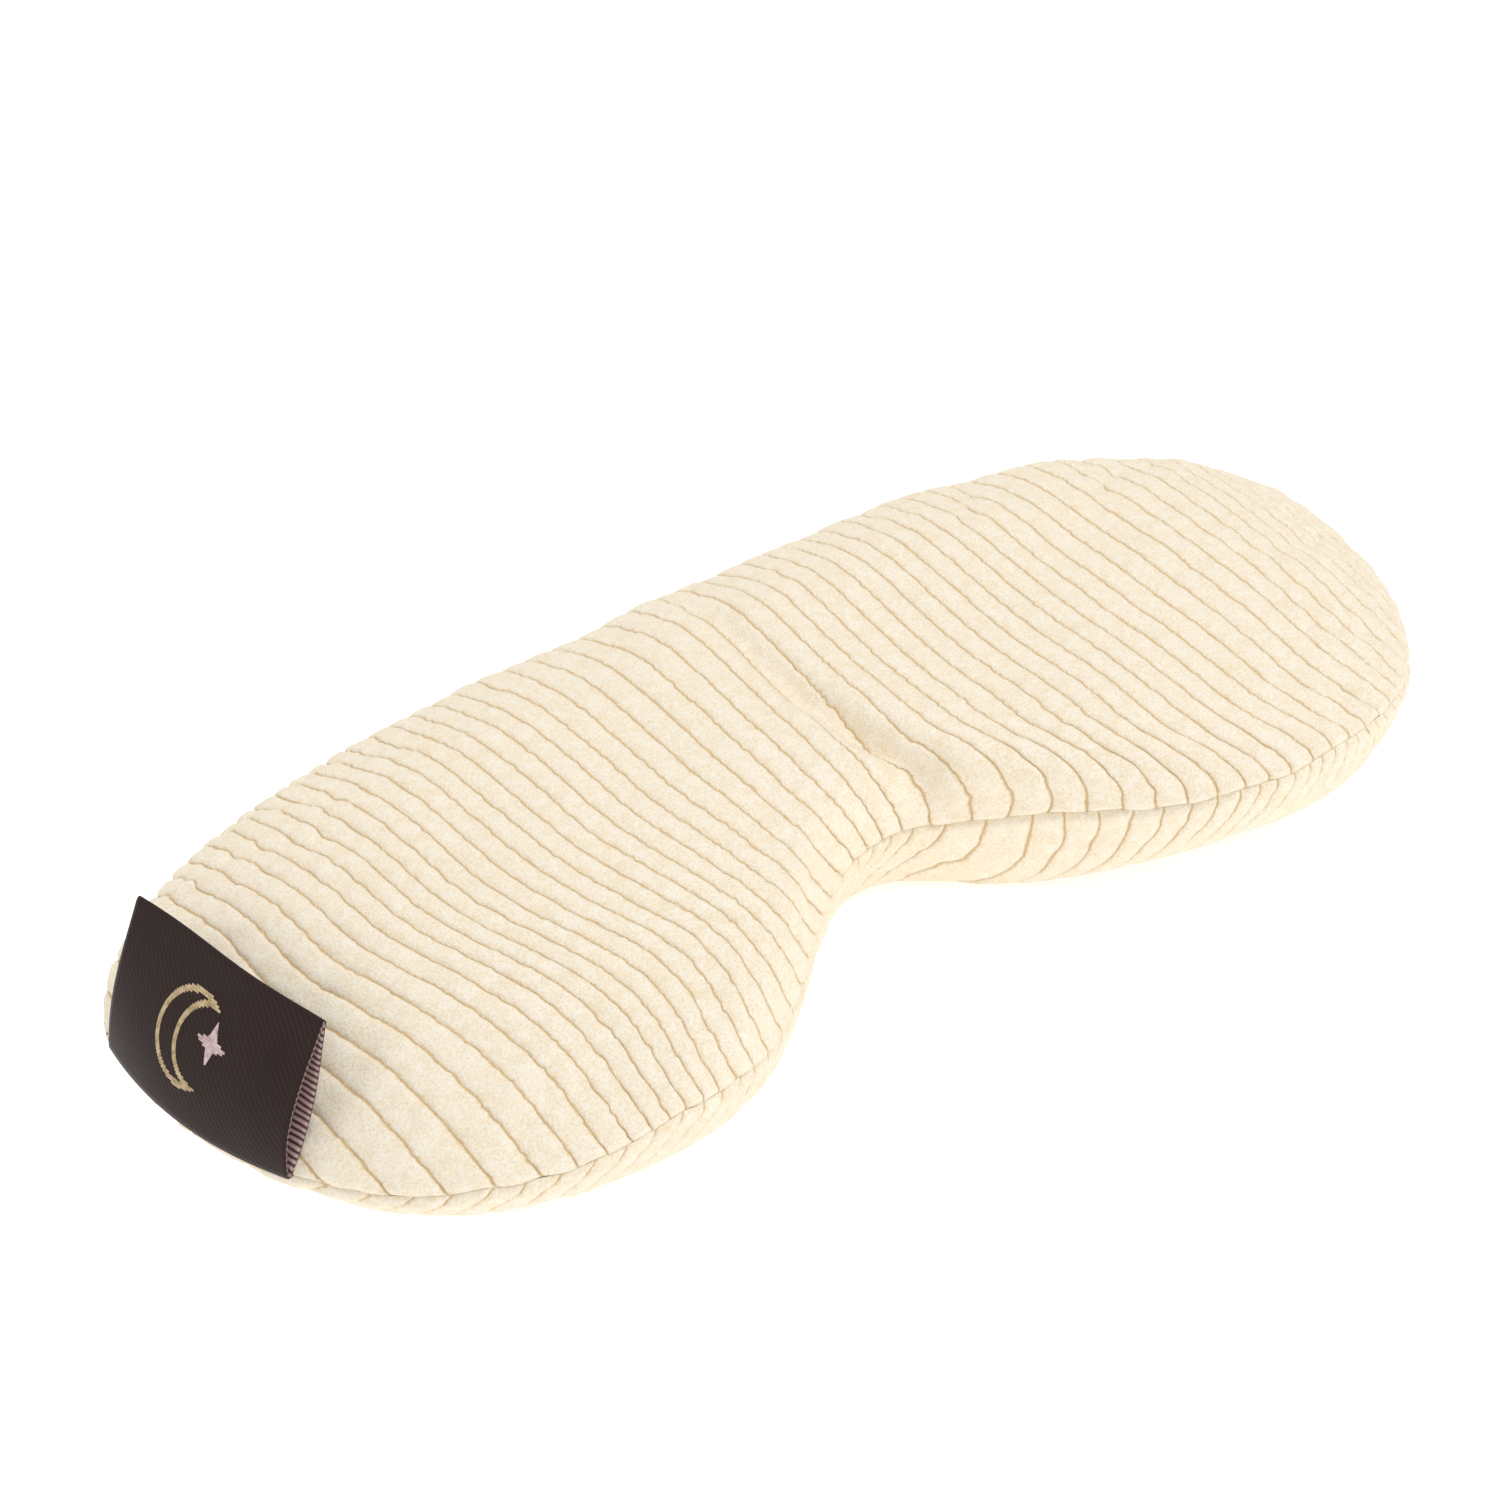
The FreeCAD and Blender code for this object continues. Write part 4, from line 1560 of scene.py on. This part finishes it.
                # The thread dips into the satin at both ends
                swell = np.sqrt(1.0 - self.float_dip * np.abs(np.linspace(-1, 1, rings)) ** 6)
                middle = self.place.length * self.motif_up + level
                height = middle + np.cos(turns) * self.float_pitch * 0.5 + np.zeros((1, rings))
                across = run[None] + self.motif_along + np.zeros((self.float_sides, 1))
                lift = self.ribbon / 2 + self.float_gap + np.sin(turns) * swell * self.proud
                grid = self.centre(across, height, -np.ones(across.shape)) + outward * lift[..., None]
                points.append(grid.reshape(-1, 3))
                faces.extend((grid_faces(self.float_sides, rings, flipped=True) + used).tolist())
                used += len(points[-1])
        return make_mesh(name, np.concatenate(points), faces)

    def in_moon(self, across: np.ndarray, height: np.ndarray) -> np.ndarray:
        """Finds the crescent's drawn edge.

        Args:
            across: places across from the motif's middle.
            height: places up from the motif's middle.

        Returns:
            Whether each place lies on it.
        """
        def crescent(shrink: float) -> np.ndarray:
            """Whether places lie in the crescent, drawn in by shrink."""
            return ((np.hypot(across, height) < self.moon_radius - shrink)
                    & (np.hypot(across - self.bite_shift, height) > self.bite_radius + shrink))
        return crescent(0.0) & ~crescent(self.line)

    def in_star(self, across: np.ndarray, height: np.ndarray) -> np.ndarray:
        """Finds the four-pointed star.

        Args:
            across: places across from the motif's middle.
            height: places up from the motif's middle.

        Returns:
            Whether each place lies in it.
        """
        x = np.abs(across - self.star_shift[0])
        y = np.abs(height - self.star_shift[1])
        long_side, short_side = np.maximum(x, y), np.minimum(x, y)
        waist = self.star_waist / math.sqrt(2)
        return short_side < waist * (self.star_radius - long_side) / (self.star_radius - waist)

    def build(self) -> list[bpy.types.Object]:
        """Makes the ribbon and its woven motif.

        Returns:
            The pieces made.
        """
        made = [self.build_ribbon()]
        beige = PatternWeft("beige_pattern_weft", "#CDB68C", "#9C8257")
        rose = PatternWeft("rose_pattern_weft", "#DCC3C3", "#B49696")
        for name, inside, finish, node, slot in (
                ("moon_floats", self.in_moon, beige, "label_moon", Slot.BEIGE_WEFT),
                ("star_floats", self.in_star, rose, "label_star", Slot.ROSE_WEFT)):
            piece = self.floats(name, inside, self.moon_radius + 1)
            finish.dress(piece)
            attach(piece, Body.LABEL_FLAP.value)
            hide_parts(node)
            made.append(piece)
        return made


@dataclass
class Studio:
    """Pale floor, soft light and the camera."""

    azimuth: float = -33.564
    elevation: float = 38.813
    roll: float = -2.792
    distance: float = 452.8
    target: tuple[float, float, float] = (10.137, 29.734, 0.0)
    lens: float = 59.9
    sensor: float = 36.0
    sight: Band = (0.02, 20.0)
    floor_half: float = 3000.0
    air_light: float = 0.6

    def camera(self) -> None:
        """Makes the camera and gives it to the scene."""
        azimuth, elevation, roll = (math.radians(a) for a in (self.azimuth, self.elevation, self.roll))
        back = Vector((math.sin(azimuth) * math.cos(elevation), -math.cos(azimuth) * math.cos(elevation),
                       math.sin(elevation)))
        level = Vector((math.cos(azimuth), math.sin(azimuth), 0))
        upright = back.cross(level)
        right = level * math.cos(roll) + upright * math.sin(roll)
        above = upright * math.cos(roll) - level * math.sin(roll)
        data = bpy.data.cameras.new("camera")
        data.lens = self.lens
        data.sensor_width = self.sensor
        data.clip_start, data.clip_end = self.sight
        view = bpy.data.objects.new("camera", data)
        turn = Matrix((right, above, back)).transposed().to_4x4()
        spot = Vector(self.target) * MM + back * self.distance * MM
        view.matrix_world = Matrix.Translation(spot) @ turn
        bpy.context.scene.collection.objects.link(view)
        bpy.context.scene.camera = view

    def light(self, name: str, place: tuple[float, float, float], size: float, power: float) -> None:
        """Adds a square soft white light that faces the pillow.

        Args:
            name: the light's name.
            place: where it stands, in metres.
            size: its side, in metres.
            power: its power, in watts.
        """
        data = bpy.data.lights.new(name, "AREA")
        data.size = size
        data.energy = power
        lamp = bpy.data.objects.new(name, data)
        lamp.location = place
        lamp.rotation_euler = Vector(place).to_track_quat("Z", "Y").to_euler()
        bpy.context.scene.collection.objects.link(lamp)

    def build(self) -> None:
        """Sets the floor, lights and camera."""
        square = np.array([(-1, -1, 0), (1, -1, 0), (1, 1, 0), (-1, 1, 0)], float)
        floor = make_mesh("paper_floor", square * self.floor_half, [(0, 1, 2, 3)])
        StudioPaper().dress(floor)
        world = bpy.data.worlds.new("studio_air")
        bpy.context.scene.world = world
        world.use_nodes = True
        feed(world.node_tree, world.node_tree.nodes["Background"],
             {"Color": linear("#FFFFFF"), "Strength": self.air_light})
        self.light("key", (0.55, -0.42, 1.13), 0.7, 6.7)
        self.light("fill", (-0.7, -0.8, 0.8), 1.0, 2.5)
        self.light("back", (-0.3, 1.0, 0.9), 1.0, 4.0)
        bpy.context.scene.view_settings.view_transform = "Standard"
        self.camera()


def main() -> None:
    """Builds the studio, the pillow and its label, and reports each piece."""
    logging.basicConfig(level=logging.INFO, format="%(name)s: %(message)s")
    Studio().build()
    for assembly in (Pillow(), WovenLabel(LabelPlace())):
        for piece in assembly.build():
            LOG.info("%s: %d points", piece.name, len(piece.data.vertices))


if __name__ == "__main__":
    main()
